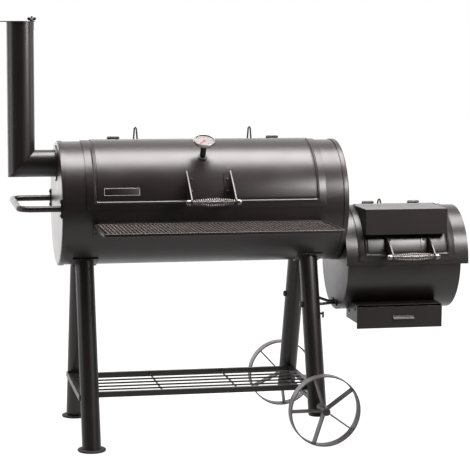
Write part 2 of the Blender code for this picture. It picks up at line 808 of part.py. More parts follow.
def thermometer(lid, pivot):
    """A dial on a thick stem that stands steeper than the lid's own normal."""
    turn = radians(DIAL_TILT)
    out = Vector((0, -cos(turn), sin(turn)))
    surface = LID_OUTSIDE + PANEL_RISE
    seat = on_drum(DIAL_PLACE, surface, DIAL_SHIFT)

    def to_lid(offset):
        start = seat + offset - MIDDLE
        along = start.y * out.y + start.z * out.z
        return -along + sqrt(along**2 - start.y**2 - start.z**2 + (surface + FIT_GAP) ** 2)

    def level(radius, distance):
        return ring(seat + distance * out, out, radius, 24)

    face = DIAL_STAND - 0.005
    back = DIAL_STAND - DIAL_DEPTH
    rings = [
        level(0.0015, -PROBE_LENGTH),
        level(PROBE_RADIUS, -PROBE_LENGTH + 0.003),
        ring(seat, out, PROBE_RADIUS, 24, to_lid),
        ring(seat, out, STEM_RADIUS, 24, to_lid),
        level(STEM_RADIUS, back - 0.004),
        level(DIAL_RADIUS - 0.006, back),
        level(DIAL_RADIUS, back + 0.003),
        level(DIAL_RADIUS, DIAL_STAND),
        level(DIAL_RADIUS - 0.003, DIAL_STAND),
        level(DIAL_RADIUS - 0.003, face),
        level(NEEDLE_PIN, face),
        level(NEEDLE_PIN, face + 0.003),
    ]
    make_object("thermometer", loft(rings), "bright_steel", pivot)
    bore = PROBE_RADIUS + FIT_GAP
    hole = turned([(bore, -0.02), (bore, 0.02)], seat, out, 24)
    cut(lid, make_object("thermometer_bore", hole, "black_enamel", pivot))
    centre = seat + (face + 0.001) * out
    up = Vector((0, out.z, -out.y))
    point = (Vector((-1, 0, 0)) - up).normalized()
    side = out.cross(point)
    outline = [
        (0.0030, 0.0022), (NEEDLE_LENGTH, 0.0003), (NEEDLE_LENGTH, -0.0003), (0.0030, -0.0022),
        (0, -0.0036), (-0.0070, -0.0024), (-0.0070, 0.0024), (0, 0.0036),
    ]
    flat = [centre + a * point + b * side for a, b in outline]
    needle = loft([flat, [p + 0.0008 * out for p in flat]])
    needle = make_object("thermometer_needle", needle, "needle_red", centre)
    bore = NEEDLE_PIN + PIN_GAP
    hole = turned([(bore, -0.003), (bore, 0.004)], centre, out, 12)
    cut(needle, make_object("needle_bore", hole, "needle_red", centre))


def chamber_lid():
    pivot = hinge_axis(DRUM_RADIUS, DRUM_HEIGHT)
    lid = lid_skin(
        "chamber_lid", pivot, 0, LID_LENGTH, LID_LOW, LID_HIGH, PANEL_LENGTH, PANEL_LOW,
        LID_OUTSIDE, DRUM_SHEET, DRUM_HEIGHT,
    )
    centres = (-HINGE_SPREAD - HINGE_SHIFT, HINGE_SPREAD - HINGE_SHIFT)
    add_hinge_straps(lid, centres, DRUM_RADIUS, DRUM_HEIGHT, LID_HIGH, pivot)
    thermometer(lid, pivot)
    handle("chamber_handle", HANDLE_SHIFT, LID_OUTSIDE + PANEL_RISE, DRUM_HEIGHT, ROD_RISE, pivot)
    for name, x in zip(("hinge_base_left", "hinge_base_right"), centres):
        hinge_base(name, x, DRUM_RADIUS, DRUM_HEIGHT)
    for name, side in (("lid_stop_left", -1), ("lid_stop_right", 1)):
        lid_stop(name, side * STOP_SPREAD - STOP_SHIFT, DRUM_RADIUS, DRUM_HEIGHT, STOP_BACK, STOP_RISE)


def warming_box(pivot):
    seat = BOX_LID_OUTSIDE + PANEL_RISE + FIT_GAP
    middle = BOX_LID_MIDDLE + WARM_SHIFT
    low = middle - WARM_LENGTH / 2
    high = middle + WARM_LENGTH / 2
    sheet = WARM_SHEET
    top = [
        (-WARM_BACK, WARM_TOP), (-WARM_FRONT, WARM_TOP), (-WARM_FRONT, WARM_BOTTOM),
        (-WARM_FRONT + sheet, WARM_BOTTOM), (-WARM_FRONT + sheet, WARM_TOP - sheet),
        (-WARM_BACK, WARM_TOP - sheet),
    ]
    skin = make_object("warming_box", prism(top, "X", low, high), "black_enamel", pivot)
    start = degrees(acos(WARM_BACK / seat))
    end = degrees(acos(sqrt(1 - ((WARM_BOTTOM - BOX_HEIGHT) / seat) ** 2)))
    curve = [on_drum(a, seat, 0, BOX_HEIGHT).yz for a in stations(end, start, step=5.0)]
    inset = 0.0004
    side = [(-WARM_BACK - inset, WARM_TOP - inset), (-WARM_FRONT + inset, WARM_TOP - inset)]
    side += [(-WARM_FRONT + inset, WARM_BOTTOM + inset)]
    side += [tuple(p) for p in curve[:-1]]
    side += [(-WARM_BACK - inset, curve[-1].y + 0.0004)]
    for i, x in enumerate((low + inset, high - sheet - inset)):
        plate = prism(side, "X", x, x + sheet)
        join(skin, make_object(f"warming_side_{i}", plate, "black_enamel", pivot))


def firebox_lid():
    pivot = hinge_axis(HOOD_RADIUS, BOX_HEIGHT)
    lid = lid_skin(
        "firebox_lid", pivot, BOX_LID_MIDDLE, BOX_LID_LENGTH, BOX_LID_LOW, BOX_LID_HIGH,
        BOX_PANEL_LENGTH, BOX_PANEL_LOW, BOX_LID_OUTSIDE, BOX_SHEET, BOX_HEIGHT,
    )
    centres = (BOX_LID_MIDDLE - BOX_HINGE_SPREAD, BOX_LID_MIDDLE + BOX_HINGE_SPREAD)
    add_hinge_straps(lid, centres, HOOD_RADIUS, BOX_HEIGHT, BOX_LID_HIGH, pivot)
    panel = BOX_LID_OUTSIDE + PANEL_RISE
    handle("firebox_handle", BOX_LID_MIDDLE, panel, BOX_HEIGHT, BOX_ROD_RISE, pivot)
    warming_box(pivot)
    for name, x in zip(("firebox_hinge_left", "firebox_hinge_right"), centres):
        hinge_base(name, x, HOOD_RADIUS, BOX_HEIGHT)
    stop = BOX_LID_MIDDLE + BOX_STOP_SHIFT
    lid_stop("firebox_lid_stop", stop, HOOD_RADIUS, BOX_HEIGHT, BOX_STOP_BACK, BOX_STOP_RISE)


# Firebox


def firebox():
    end = BOX_START + BOX_LENGTH
    middle = BOX_START + BOX_LENGTH / 2
    slot = ASH_SLOT / 2
    angles = stations(-180.0 - HOOD_LAP, HOOD_LAP, (ASH_SLOT_LOW, ASH_SLOT_HIGH))

    def keep_trough(x, angle):
        return not (abs(x - middle) < slot and ASH_SLOT_LOW < angle < ASH_SLOT_HIGH)

    xs = [BOX_START, middle - slot, middle + slot, end]
    trough = curved_sheet(xs, angles, BOX_RADIUS, BOX_SHEET, BOX_HEIGHT, keep=keep_trough)
    make_object("firebox_trough", trough, "black_enamel")
    half = BOX_DOOR_LENGTH / 2
    angles = stations(-HOOD_LAP, 180.0 + HOOD_LAP, (BOX_DOOR_LOW, BOX_DOOR_HIGH))

    def keep_hood(x, angle):
        return not (abs(x - BOX_LID_MIDDLE) < half and BOX_DOOR_LOW < angle < BOX_DOOR_HIGH)

    xs = [HOOD_START, BOX_LID_MIDDLE - half, BOX_LID_MIDDLE + half, HOOD_START + HOOD_LENGTH]
    hood = curved_sheet(xs, angles, HOOD_RADIUS, BOX_SHEET, BOX_HEIGHT, keep=keep_hood)
    hood = make_object("firebox_hood", hood, "black_enamel")
    inside = HOOD_RADIUS - BOX_SHEET / 2
    outline = arc((0, BOX_HEIGHT), inside, 0, 180)
    drop = BOX_HEIGHT - inside * sin(radians(HOOD_LAP)) + 0.0003
    outline += [(-inside, drop), (inside, drop)]
    plate = prism(outline, "X", HOOD_START + 0.0002, HOOD_START + 0.0002 + BOX_SHEET)
    join(hood, make_object("hood_end", plate, "black_enamel"))
    hole = prism(throat_outline(0), "X", HALF - 0.01, BOX_START)
    cut(hood, make_object("hood_throat", hole, "black_enamel"))

    radius = BOX_RADIUS - BOX_SHEET - FIT_GAP
    axis = Vector((0, 0, BOX_HEIGHT))
    disc = [(radius, 0), (radius, PLATE_SHEET)]
    left = turned(disc, axis + Vector((BOX_START, 0, 0)), (1, 0, 0), 60)
    left = make_object("firebox_end_left", left, "black_enamel")
    collar = prism(throat_outline(-FIT_GAP), "X", HALF - CAP_SHEET, BOX_START + 0.001)
    join(left, make_object("throat_collar", collar, "black_enamel"))
    hole = prism(throat_outline(-FIT_GAP - THROAT_SHEET), "X", HALF - 0.02, BOX_START + 0.02)
    cut(left, make_object("throat_hole", hole, "black_enamel"))
    right = turned(disc, axis + Vector((end - PLATE_SHEET, 0, 0)), (1, 0, 0), 60)
    right = make_object("firebox_end_right", right, "black_enamel")
    centre = Vector((end, 0, BOX_HEIGHT + INLET_RISE))
    plate = [(INLET_RADIUS, 0), (INLET_RADIUS, INLET_SHEET)]
    start = centre + Vector((FIT_GAP, 0, 0))
    damper = make_object("air_damper", turned(plate, start, (1, 0, 0), 36), "dark_steel", centre)
    for i in range(INLET_HOLES):
        turn = radians(90 + 360 * i / INLET_HOLES)
        place = centre + INLET_CIRCLE * Vector((0, cos(turn), sin(turn)))
        hole = [(INLET_HOLE, -0.01), (INLET_HOLE, 0.01)]
        cut(right, make_object(f"inlet_{i}", turned(hole, place, (1, 0, 0), 20), "dark_steel"))
        hole = turned(hole, place, (1, 0, 0), 20)
        cut(damper, make_object(f"damper_{i}", hole, "dark_steel", centre))
    turn = radians(90 + 180 / INLET_HOLES)
    place = centre + (INLET_RADIUS - 0.012) * Vector((0, cos(turn), sin(turn)))
    knob = [(0.0035, 0.001), (0.0035, 0.008), (0.006, 0.009), (0.006, 0.016), (0.004, 0.018)]
    join(damper, make_object("damper_knob", turned(knob, place, (1, 0, 0), 12), "dark_steel", centre))
    bore = [(INLET_PIN + PIN_GAP, -0.01), (INLET_PIN + PIN_GAP, 0.01)]
    hole = turned(bore, centre, (1, 0, 0), 16)
    cut(damper, make_object("damper_bore", hole, "dark_steel", centre))
    face = 2 * FIT_GAP + INLET_SHEET
    pin = [(INLET_PIN, -0.002), (INLET_PIN, face), (0.008, face), (0.008, face + 0.002), (0.005, face + 0.004)]
    join(right, make_object("damper_pin", turned(pin, centre, (1, 0, 0), 16), "black_enamel"))

    inner = BOX_RADIUS - BOX_SHEET - FIT_GAP
    reach = sqrt(inner**2 - (BOX_HEIGHT - COAL_GRATE_HEIGHT) ** 2)
    low = (BOX_START + PLATE_SHEET + 0.003, -reach)
    high = (end - PLATE_SHEET - 0.003, reach)
    grate("charcoal_grate", low, high, COAL_GRATE_HEIGHT, 0.006, COAL_BARS, "cast_iron")


def ash_drawer():
    sheet = ASH_SHEET
    middle = BOX_START + BOX_LENGTH / 2 - ASH_SHIFT
    low = middle - ASH_LENGTH / 2
    high = middle + ASH_LENGTH / 2
    seat = BOX_RADIUS + FIT_GAP
    start = -degrees(acos(ASH_BACK / seat))
    end = -degrees(acos(sqrt(1 - ((BOX_HEIGHT - ASH_HIGH) / seat) ** 2)))
    curve = [tuple(on_drum(a, seat, 0, BOX_HEIGHT).yz) for a in stations(start, end)]
    outline = [(-ASH_FRONT, ASH_LOW), (-ASH_BACK, ASH_LOW), *curve, (-ASH_FRONT, ASH_HIGH)]
    housing = make_object("ash_housing", prism(outline, "X", low, high), "black_enamel")
    lip = curve[-1][0] - 0.002
    far = -ASH_FRONT - 0.02
    hollow = [
        (far, ASH_LOW + sheet), (-ASH_BACK - sheet, ASH_LOW + sheet),
        (-ASH_BACK - sheet, ASH_HIGH + 0.02), (lip, ASH_HIGH + 0.02), (lip, ASH_HIGH - sheet),
        (far, ASH_HIGH - sheet),
    ]
    hollow = prism(hollow, "X", low + sheet, high - sheet)
    cut(housing, make_object("housing_hollow", hollow, "black_enamel"))

    front = -ASH_FRONT - FIT_GAP
    side = sheet + ASH_SIDE_GAP
    base = ASH_LOW + sheet + FIT_GAP
    back = -ASH_BACK - sheet - 0.003
    pivot = (middle, front - ASH_FACE, ASH_PULL_HEIGHT)
    face = box((low - 0.001, front - ASH_FACE, ASH_FACE_LOW), (high + 0.001, front, ASH_FACE_TOP))
    drawer = make_object("ash_drawer", face, "black_enamel", pivot)
    tray = box((low + side, front - 0.001, base), (high - side, back, ASH_TRAY_TOP))
    join(drawer, make_object("drawer_tray", tray, "black_enamel", pivot))
    inner = box(
        (low + side + sheet, front + 0.001, base + sheet),
        (high - side - sheet, back - sheet, ASH_TRAY_TOP + 0.05),
    )
    cut(drawer, make_object("drawer_hollow", inner, "black_enamel", pivot))
    level = ASH_PULL_HEIGHT
    y = front - ASH_FACE
    pull = [
        (y + 0.001, level - 0.002), (y - ASH_PULL, level - 0.001), (y - ASH_PULL, level + 0.001),
        (y - ASH_PULL * 0.6, level + 0.006), (y + 0.001, level + 0.010),
    ]
    place = middle + ASH_PULL_SHIFT
    half = ASH_PULL_LENGTH / 2
    pull = prism(pull, "X", place - half, place + half)
    join(drawer, make_object("drawer_pull", pull, "black_enamel", pivot))


# Chimney


def chimney():
    sides = 30
    run = Vector((-1, 0, 0))
    start = Vector((-HALF - FIT_GAP, 0, FLUE_HEIGHT))
    inside = FLUE_RADIUS - FLUE_SHEET
    corner = Vector((FLUE_X, 0, FLUE_HEIGHT))
    gap = FIT_GAP / sqrt(2)

    def level(offset):
        return -offset.z - gap

    def rise(offset):
        return offset.x + gap

    rings = [
        ring(start, run, FLUE_FLANGE, sides),
        ring(start + FLUE_FLANGE_SHEET * run, run, FLUE_FLANGE, sides),
        ring(start + FLUE_FLANGE_SHEET * run, run, FLUE_RADIUS, sides),
        ring(corner, run, FLUE_RADIUS, sides, level),
        ring(corner, run, inside, sides, level),
        ring(start, run, inside, sides),
    ]
    make_object("chimney_elbow", loft(rings, closed=True), "black_enamel")
    up = Vector((0, 0, 1))
    top = Vector((FLUE_X, 0, CHIMNEY_TOP))
    rings = [
        ring(corner, up, FLUE_RADIUS, sides, rise),
        ring(top, up, FLUE_RADIUS, sides),
        ring(top, up, inside, sides),
        ring(corner, up, inside, sides, rise),
    ]
    make_object("chimney_pipe", loft(rings, closed=True), "black_enamel")

    turn = radians(PIVOT_ANGLE)
    pivot = top + PIVOT_OFFSET * Vector((cos(turn), sin(turn), 0))
    inner = arc((FLUE_X, 0), FLUE_RADIUS + FIT_GAP, PIVOT_ANGLE + 12, PIVOT_ANGLE - 12, 6)
    outline = inner + arc((pivot.x, pivot.y), 0.0075, PIVOT_ANGLE - 80, PIVOT_ANGLE + 80, 20)
    lug = prism(outline, "Z", CHIMNEY_TOP - 0.026, CHIMNEY_TOP - 0.0005)
    lug = make_object("cap_pivot", lug, "black_enamel")
    over = 2 * FIT_GAP + FLUE_CAP_SHEET
    pin = [
        (PIVOT_RADIUS, -0.010), (PIVOT_RADIUS, over), (0.0065, over), (0.0065, over + 0.006),
        (0.0035, over + 0.009), (0.0030, over + 0.016),
    ]
    join(lug, make_object("pivot_pin", turned(pin, pivot, up, 12), "black_enamel"))
    low = CHIMNEY_TOP + FIT_GAP
    high = low + FLUE_CAP_SHEET
    disc = prism(arc((FLUE_X, 0), FLUE_CAP_RADIUS, 0, 354, 6), "Z", low, high)
    cap = make_object("chimney_cap", disc, "black_enamel", pivot)
    ear = arc((pivot.x, pivot.y), 0.010, PIVOT_ANGLE - 90, PIVOT_ANGLE + 90, 20)
    across = Vector((-sin(turn), cos(turn)))
    back = Vector((FLUE_X, 0)) + 0.030 * Vector((cos(turn), sin(turn)))
    ear += [tuple(back + 0.020 * across), tuple(back - 0.020 * across)]
    join(cap, make_object("cap_ear", prism(ear, "Z", low, high), "black_enamel", pivot))
    far = FLUE_X - FLUE_CAP_RADIUS
    tab = arc((far - FLUE_CAP_TAB + 0.008, 0), 0.008, 90, 270, 30)
    tab += [(far + 0.012, -0.013), (far + 0.012, 0.013)]
    join(cap, make_object("cap_tab", prism(tab, "Z", low, high), "black_enamel", pivot))
    bore = PIVOT_RADIUS + PIN_GAP
    hole = turned([(bore, -0.01), (bore, 0.02)], pivot, up, 12)
    cut(cap, make_object("cap_bore", hole, "black_enamel", pivot))


# Stand


def leg_line(side):
    """A point on a leg's axis on the ground, and its direction upwards, in Y and Z."""
    top = DRUM_HEIGHT - sqrt(DRUM_RADIUS**2 - LEG_TOP_SPREAD**2)
    foot = Vector((0, side * LEG_FOOT_SPREAD, 0))
    head = Vector((0, side * LEG_TOP_SPREAD, top))
    return foot, (head - foot).normalized()


def leg(name, x, side, bottom):
    """A leg tube cut level at its foot, with a saddle under the drum."""
    foot, up = leg_line(side)
    foot = foot + Vector((x, 0, 0))
    seat = DRUM_RADIUS + FIT_GAP + SADDLE_SHEET / 2

    def to_saddle(offset):
        start = foot + offset - MIDDLE
        along = start.y * up.y + start.z * up.z
        gap = start.y**2 + start.z**2 - seat**2
        return -along - sqrt(along**2 - gap)

    def to_bottom(offset):
        return (bottom - offset.z) / up.z

    inside = LEG_RADIUS - LEG_SHEET
    rings = [
        ring(foot, up, LEG_RADIUS, 24, to_saddle),
        ring(foot, up, LEG_RADIUS, 24, to_bottom),
        ring(foot, up, inside, 24, to_bottom),
        ring(foot, up, inside, 24, to_saddle),
    ]
    tube = make_object(name, loft(rings, closed=True), "black_enamel")
    centre = SADDLE_ANGLE if side < 0 else -180 - SADDLE_ANGLE
    angles = stations(centre - SADDLE_SPAN / 2, centre + SADDLE_SPAN / 2, step=3.0)
    pad = curved_sheet(
        [x - SADDLE_HALF, x + SADDLE_HALF], angles, DRUM_RADIUS + FIT_GAP + SADDLE_SHEET,
        SADDLE_SHEET, DRUM_HEIGHT,
    )
    join(tube, make_object(f"{name}_saddle", pad, "black_enamel"))
    return tube


def foot_disc(name, x, side):
    foot, up = leg_line(side)
    foot = foot + Vector((x, 0, 0))
    disc = [
        (FOOT_RADIUS - 0.002, 0), (FOOT_RADIUS, 0.002), (FOOT_RADIUS, FOOT_THICKNESS - 0.002),
        (FOOT_RADIUS - 0.002, FOOT_THICKNESS),
    ]
    base = make_object(name, turned(disc, foot, (0, 0, 1), 32), "rubber")
    radius = LEG_RADIUS - LEG_SHEET - FIT_GAP

    def at_level(height):
        return ring(foot, up, radius, 24, lambda offset: (height - offset.z) / up.z)

    plug = loft([at_level(FOOT_THICKNESS - 0.002), at_level(FOOT_THICKNESS + FOOT_PLUG)])
    join(base, make_object(f"{name}_plug", plug, "rubber"))


def wheel(name, side, spoke):
    centre = Vector((RIGHT_LEGS, side * (WHEEL_OUTSIDE - WHEEL_WIDTH / 2), WHEEL_RADIUS))
    along = Vector((0, side, 0))
    half = WHEEL_WIDTH / 2
    inner = WHEEL_RADIUS - WHEEL_STRIP
    strip = [(WHEEL_RADIUS, -half), (WHEEL_RADIUS, half), (inner, half), (inner, -half)]
    rim = make_object(name, turned(strip, centre, along, 48, closed=True), "wheel_steel", centre)
    hub_end = half + HUB_PROUD
    hub = [(WHEEL_HUB, hub_end - WHEEL_HUB_LENGTH), (WHEEL_HUB, hub_end)]
    hub = make_object(f"{name}_hub", turned(hub, centre, along, 20), "wheel_steel", centre)
    join(rim, hub)
    for i in range(SPOKES):
        turn = radians(spoke + 360 * i / SPOKES)
        out = Vector((cos(turn), 0, sin(turn)))
        across = Vector((-sin(turn), 0, cos(turn))) * SPOKE_SHEET / 2
        wide = Vector((0, SPOKE_WIDTH / 2, 0))
        near = centre + 0.009 * out
        far = centre + (inner + 0.001) * out
        rings = [
            [p + across + wide, p + across - wide, p - across - wide, p - across + wide]
            for p in (near, far)
        ]
        join(rim, make_object(f"{name}_spoke_{i}", loft(rings), "wheel_steel", centre))
    bore = AXLE_RADIUS + PIN_GAP
    hole = turned([(bore, -0.08), (bore, 0.08)], centre, along, 20)
    cut(rim, make_object(f"{name}_bore", hole, "wheel_steel", centre))


def axle_hole(tube, name):
    bore = AXLE_RADIUS + FIT_GAP
    hole = turned([(bore, -0.4), (bore, 0.4)], (RIGHT_LEGS, 0, WHEEL_RADIUS), (0, 1, 0), 20)
    cut(tube, make_object(f"{name}_axle_hole", hole, "black_enamel"))


def brace(name, side):
    """A rod through a wheeled leg that holds up the firebox."""
    y = side * leg_spread(BRACE_HEIGHT)
    left = RIGHT_LEGS - LEG_RADIUS - FIT_GAP
    points = [
        (left - 0.001, y, BRACE_HEIGHT),
        (RIGHT_LEGS + LEG_RADIUS + 0.012, y, BRACE_HEIGHT),
        (BOX_START - 0.016, side * BRACE_END_SPREAD, BRACE_END_HEIGHT),
        (BOX_START - 0.001, side * BRACE_END_SPREAD, BRACE_END_HEIGHT),
    ]
    path = corner_path(points, 0.014, 3)
    rod = make_object(name, swept(path, BRACE_RADIUS, 10), "dark_steel")
    head = [(BRACE_HEAD, 0), (BRACE_HEAD, 0.005), (BRACE_HEAD - 0.003, 0.007)]
    head = turned(head, (left, y, BRACE_HEIGHT), (-1, 0, 0), 12)
    join(rod, make_object(f"{name}_head", head, "dark_steel"))
    pad = [(BRACE_PAD, FIT_GAP), (BRACE_PAD, FIT_GAP + 0.003)]
    place = (BOX_START, side * BRACE_END_SPREAD, BRACE_END_HEIGHT)
    pad = turned(pad, place, (-1, 0, 0), 16)
    join(rod, make_object(f"{name}_pad", pad, "dark_steel"))
    return (y, BRACE_HEIGHT)


def rack():
    low = RACK_TOP - RACK_BAR_HEIGHT
    outer = RACK_SPREAD + RACK_BAR_WIDTH / 2
    inner = outer - RACK_BAR_WIDTH

    def loop(inset, y, z):
        a = RACK_LEFT + inset
        b = RACK_RIGHT - inset
        return [(a, -y, z), (b, -y, z), (b, y, z), (a, y, z)]

    frame = loft([
        loop(0, outer, low), loop(0, outer, RACK_TOP),
        loop(RACK_BAR_WIDTH, inner, RACK_TOP), loop(RACK_BAR_WIDTH, inner, low),
    ], closed=True)
    frame = make_object("rack", frame, "black_enamel")
    height = RACK_TOP - 0.0053
    pitch = 2 * inner / (RACK_WIRES + 1)
    for i in range(RACK_WIRES):
        y = -inner + (i + 1) * pitch
        wire = [(RACK_WIRE, RACK_LEFT + 0.004), (RACK_WIRE, RACK_RIGHT - 0.004)]
        wire = turned(wire, (0, y, height), (1, 0, 0), 8)
        join(frame, make_object(f"rack_wire_{i}", wire, "black_enamel"))
    for i, x in enumerate(RACK_CROSS):
        wire = [(RACK_WIRE, -inner - 0.004), (RACK_WIRE, inner + 0.004)]
        wire = turned(wire, (x, 0, height - 1.37 * RACK_WIRE), (0, 1, 0), 8)
        join(frame, make_object(f"rack_cross_{i}", wire, "black_enamel"))

    x = RACK_LEFT - FIT_GAP
    reach = leg_spread(low + RACK_BAR_HEIGHT / 2)
    strut = box((x - STRUT_SHEET, -reach, low), (x, reach, RACK_TOP))
    make_object("strut_left", strut, "black_enamel")
    x = RACK_RIGHT + FIT_GAP
    _, up = leg_line(1)
    wall = LEG_RADIUS / up.z + FIT_GAP
    a = leg_spread(low) - wall
    b = leg_spread(RACK_TOP) - wall
    outline = [(-a, low), (a, low), (b, RACK_TOP), (-b, RACK_TOP)]
    make_object("strut_right", prism(outline, "X", x, x + STRUT_SHEET), "black_enamel")


def stand():
    bottom = FOOT_THICKNESS + FIT_GAP
    leg("leg_front_left", LEFT_LEGS, -1, bottom)
    leg("leg_rear_left", LEFT_LEGS, 1, bottom)
    foot_disc("foot_front_left", LEFT_LEGS, -1)
    foot_disc("foot_rear_left", LEFT_LEGS, 1)
    for name, side in (("leg_front_right", -1), ("leg_rear_right", 1)):
        tube = leg(name, RIGHT_LEGS, side, WHEEL_RADIUS - LEG_STUB)
        axle_hole(tube, name)
        place = brace("brace_front" if side < 0 else "brace_rear", side)
        bore = BRACE_RADIUS + FIT_GAP
        hole = turned([(bore, -0.06), (bore, 0.06)], (RIGHT_LEGS, *place), (1, 0, 0), 10)
        cut(tube, make_object(f"{name}_brace_hole", hole, "black_enamel"))
    wheel("wheel_front", -1, FRONT_SPOKE)
    wheel("wheel_rear", 1, REAR_SPOKE)
    hub = WHEEL_OUTSIDE + HUB_PROUD
    inner = hub - WHEEL_HUB_LENGTH - FIT_GAP
    outer = hub + FIT_GAP
    profile = [
        (AXLE_HEAD, -outer - AXLE_HEAD_LENGTH), (AXLE_HEAD, -outer), (AXLE_RADIUS, -outer),
        (AXLE_RADIUS, -inner), (AXLE_COLLAR, -inner), (AXLE_COLLAR, -inner + AXLE_COLLAR_LENGTH),
        (AXLE_RADIUS, -inner + AXLE_COLLAR_LENGTH),
    ]
    profile += [(r, -d) for r, d in reversed(profile)]
    axle = turned(profile, (RIGHT_LEGS, 0, WHEEL_RADIUS), (0, 1, 0), 20)
    make_object("axle", axle, "dark_steel")
    rack()


# Shelf and pull handle


def shelf_outline(inset):
    low = SHELF_SHIFT - SHELF_LENGTH / 2 + inset
    high = SHELF_SHIFT + SHELF_LENGTH / 2 - inset
    front = -SHELF_FRONT + inset
    corner = SHELF_CORNER - inset
    outline = arc((low + corner, front + corner), corner, 180, 270, 15)
    outline += arc((high - corner, front + corner), corner, 270, 360, 15)
    return outline + [(high, -SHELF_BACK - inset), (low, -SHELF_BACK - inset)]


def shelf():
    def level(inset, z):
        return [(x, y, z) for x, y in shelf_outline(inset)]

    low = SHELF_TOP - SHELF_LIP
    rings = [
        level(SHELF_RIM, SHELF_TOP - SHELF_SHEET), level(SHELF_RIM, low), level(0, low),
        level(0, SHELF_TOP),
    ]
    make_object("front_shelf", loft(rings), "dark_steel")
    seat = DRUM_RADIUS + FIT_GAP
    top = low - FIT_GAP
    sheet = BRACKET_SHEET
    high = -degrees(acos(sqrt(1 - ((DRUM_HEIGHT - top) / seat) ** 2)))
    inner = [tuple(on_drum(a, seat).yz) for a in stations(BRACKET_LOW, high, step=4.0)]
    high = -degrees(acos(sqrt(1 - ((DRUM_HEIGHT - top + sheet) / (seat + sheet)) ** 2)))
    outer = [tuple(on_drum(a, seat + sheet).yz) for a in stations(BRACKET_LOW, high, step=4.0)]
    front = inner[-1][0] - BRACKET_REACH
    outline = inner + [(front, top), (front, top - sheet)] + outer[::-1]
    half = BRACKET_WIDTH / 2
    for name, side in (("shelf_bracket_left", -1), ("shelf_bracket_right", 1)):
        x = SHELF_SHIFT + side * BRACKET_SPREAD
        make_object(name, prism(outline, "X", x - half, x + half), "black_enamel")


def pull_handle():
    face = -HALF - FIT_GAP
    far = -HALF - PULL_REACH
    z = DRUM_HEIGHT
    start = face - PULL_PAD_SHEET / 2
    points = [
        (start, -PULL_SPREAD, z), (far, -PULL_SPREAD, z), (far, PULL_SPREAD, z),
        (start, PULL_SPREAD, z),
    ]
    bar = swept(corner_path(points, PULL_BEND, 5), PULL_RADIUS, 14)
    bar = make_object("pull_handle", bar, "black_enamel")
    for i, side in enumerate((-1, 1)):
        y = side * PULL_SPREAD
        pad = box(
            (face - PULL_PAD_SHEET, y - PULL_PAD_WIDTH / 2, z - PULL_PAD_HEIGHT / 2),
            (face, y + PULL_PAD_WIDTH / 2, z + PULL_PAD_HEIGHT / 2),
        )
        join(bar, make_object(f"pull_pad_{i}", pad, "black_enamel"))


def main():
    chamber()
    grates()
    chamber_lid()
    firebox()
    firebox_lid()
    ash_drawer()
    chimney()
    stand()
    shelf()
    pull_handle()


clear_scene()
ROOT = bpy.data.objects.new("smoker", None)
bpy.context.scene.collection.objects.link(ROOT)
ROOT.location = -GROUND_CENTRE
main()
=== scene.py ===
import json
from math import cos, degrees, hypot, pi, radians, sin, sqrt

import bpy
from mathutils import Matrix, Vector

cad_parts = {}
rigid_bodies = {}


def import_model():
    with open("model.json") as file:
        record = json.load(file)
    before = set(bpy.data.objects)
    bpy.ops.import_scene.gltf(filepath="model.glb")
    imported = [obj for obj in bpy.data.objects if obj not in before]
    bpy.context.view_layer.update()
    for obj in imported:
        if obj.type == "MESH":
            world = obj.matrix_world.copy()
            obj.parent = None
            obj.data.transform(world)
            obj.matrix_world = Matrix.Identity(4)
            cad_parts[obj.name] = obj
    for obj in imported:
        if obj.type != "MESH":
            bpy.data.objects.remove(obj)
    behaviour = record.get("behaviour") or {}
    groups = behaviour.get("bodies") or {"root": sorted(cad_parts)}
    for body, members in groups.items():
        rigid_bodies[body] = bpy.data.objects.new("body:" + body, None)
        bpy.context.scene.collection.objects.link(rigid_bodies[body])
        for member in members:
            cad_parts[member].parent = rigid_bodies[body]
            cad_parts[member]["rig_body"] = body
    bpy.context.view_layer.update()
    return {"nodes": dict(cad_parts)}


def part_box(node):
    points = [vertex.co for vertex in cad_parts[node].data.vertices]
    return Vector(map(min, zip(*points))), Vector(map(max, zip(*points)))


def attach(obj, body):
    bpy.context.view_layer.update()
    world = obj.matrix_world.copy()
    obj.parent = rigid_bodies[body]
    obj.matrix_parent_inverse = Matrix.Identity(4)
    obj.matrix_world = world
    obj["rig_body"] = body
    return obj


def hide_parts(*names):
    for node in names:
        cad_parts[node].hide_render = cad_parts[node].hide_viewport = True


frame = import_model()

# Every place below is measured from the middle of the cooking chamber: x along it towards the
# firebox, y from its axis towards the back. Heights are from the ground.
leftCap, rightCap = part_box("chamber_end_left"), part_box("chamber_end_right")
middle = (leftCap[0] + rightCap[1]) / 2
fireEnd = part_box("firebox_end_right")
# Both drums: the height of the axis, the radius and how far the ends or hinges stand from the middle
chamber = {"height": middle.z, "radius": 0.203, "half": (rightCap[1].x - leftCap[0].x) / 2}
firebox = {"height": (fireEnd[0].z + fireEnd[1].z) / 2, "radius": 0.1775, "hinges": 0.081}


def at(x, y, z):
    return Vector((middle.x + x, middle.y + y, z))


def onDrum(angle, radius, x, height):
    # 0 degrees is the drum's front, 90 its top
    return at(x, -radius * cos(radians(angle)), height + radius * sin(radians(angle)))


def outOfDrum(angle):
    return Vector((0, -cos(radians(angle)), sin(radians(angle))))


# Working on one piece at a time


def clearSelection():
    if bpy.context.object and bpy.context.object.mode != "OBJECT":
        bpy.ops.object.mode_set(mode="OBJECT")
    bpy.ops.object.select_all(action="DESELECT")


def pickOnly(piece):
    clearSelection()
    piece.select_set(True)
    bpy.context.view_layer.objects.active = piece


def applyPlace(piece):
    pickOnly(piece)
    bpy.ops.object.transform_apply(location=True, rotation=True, scale=True)


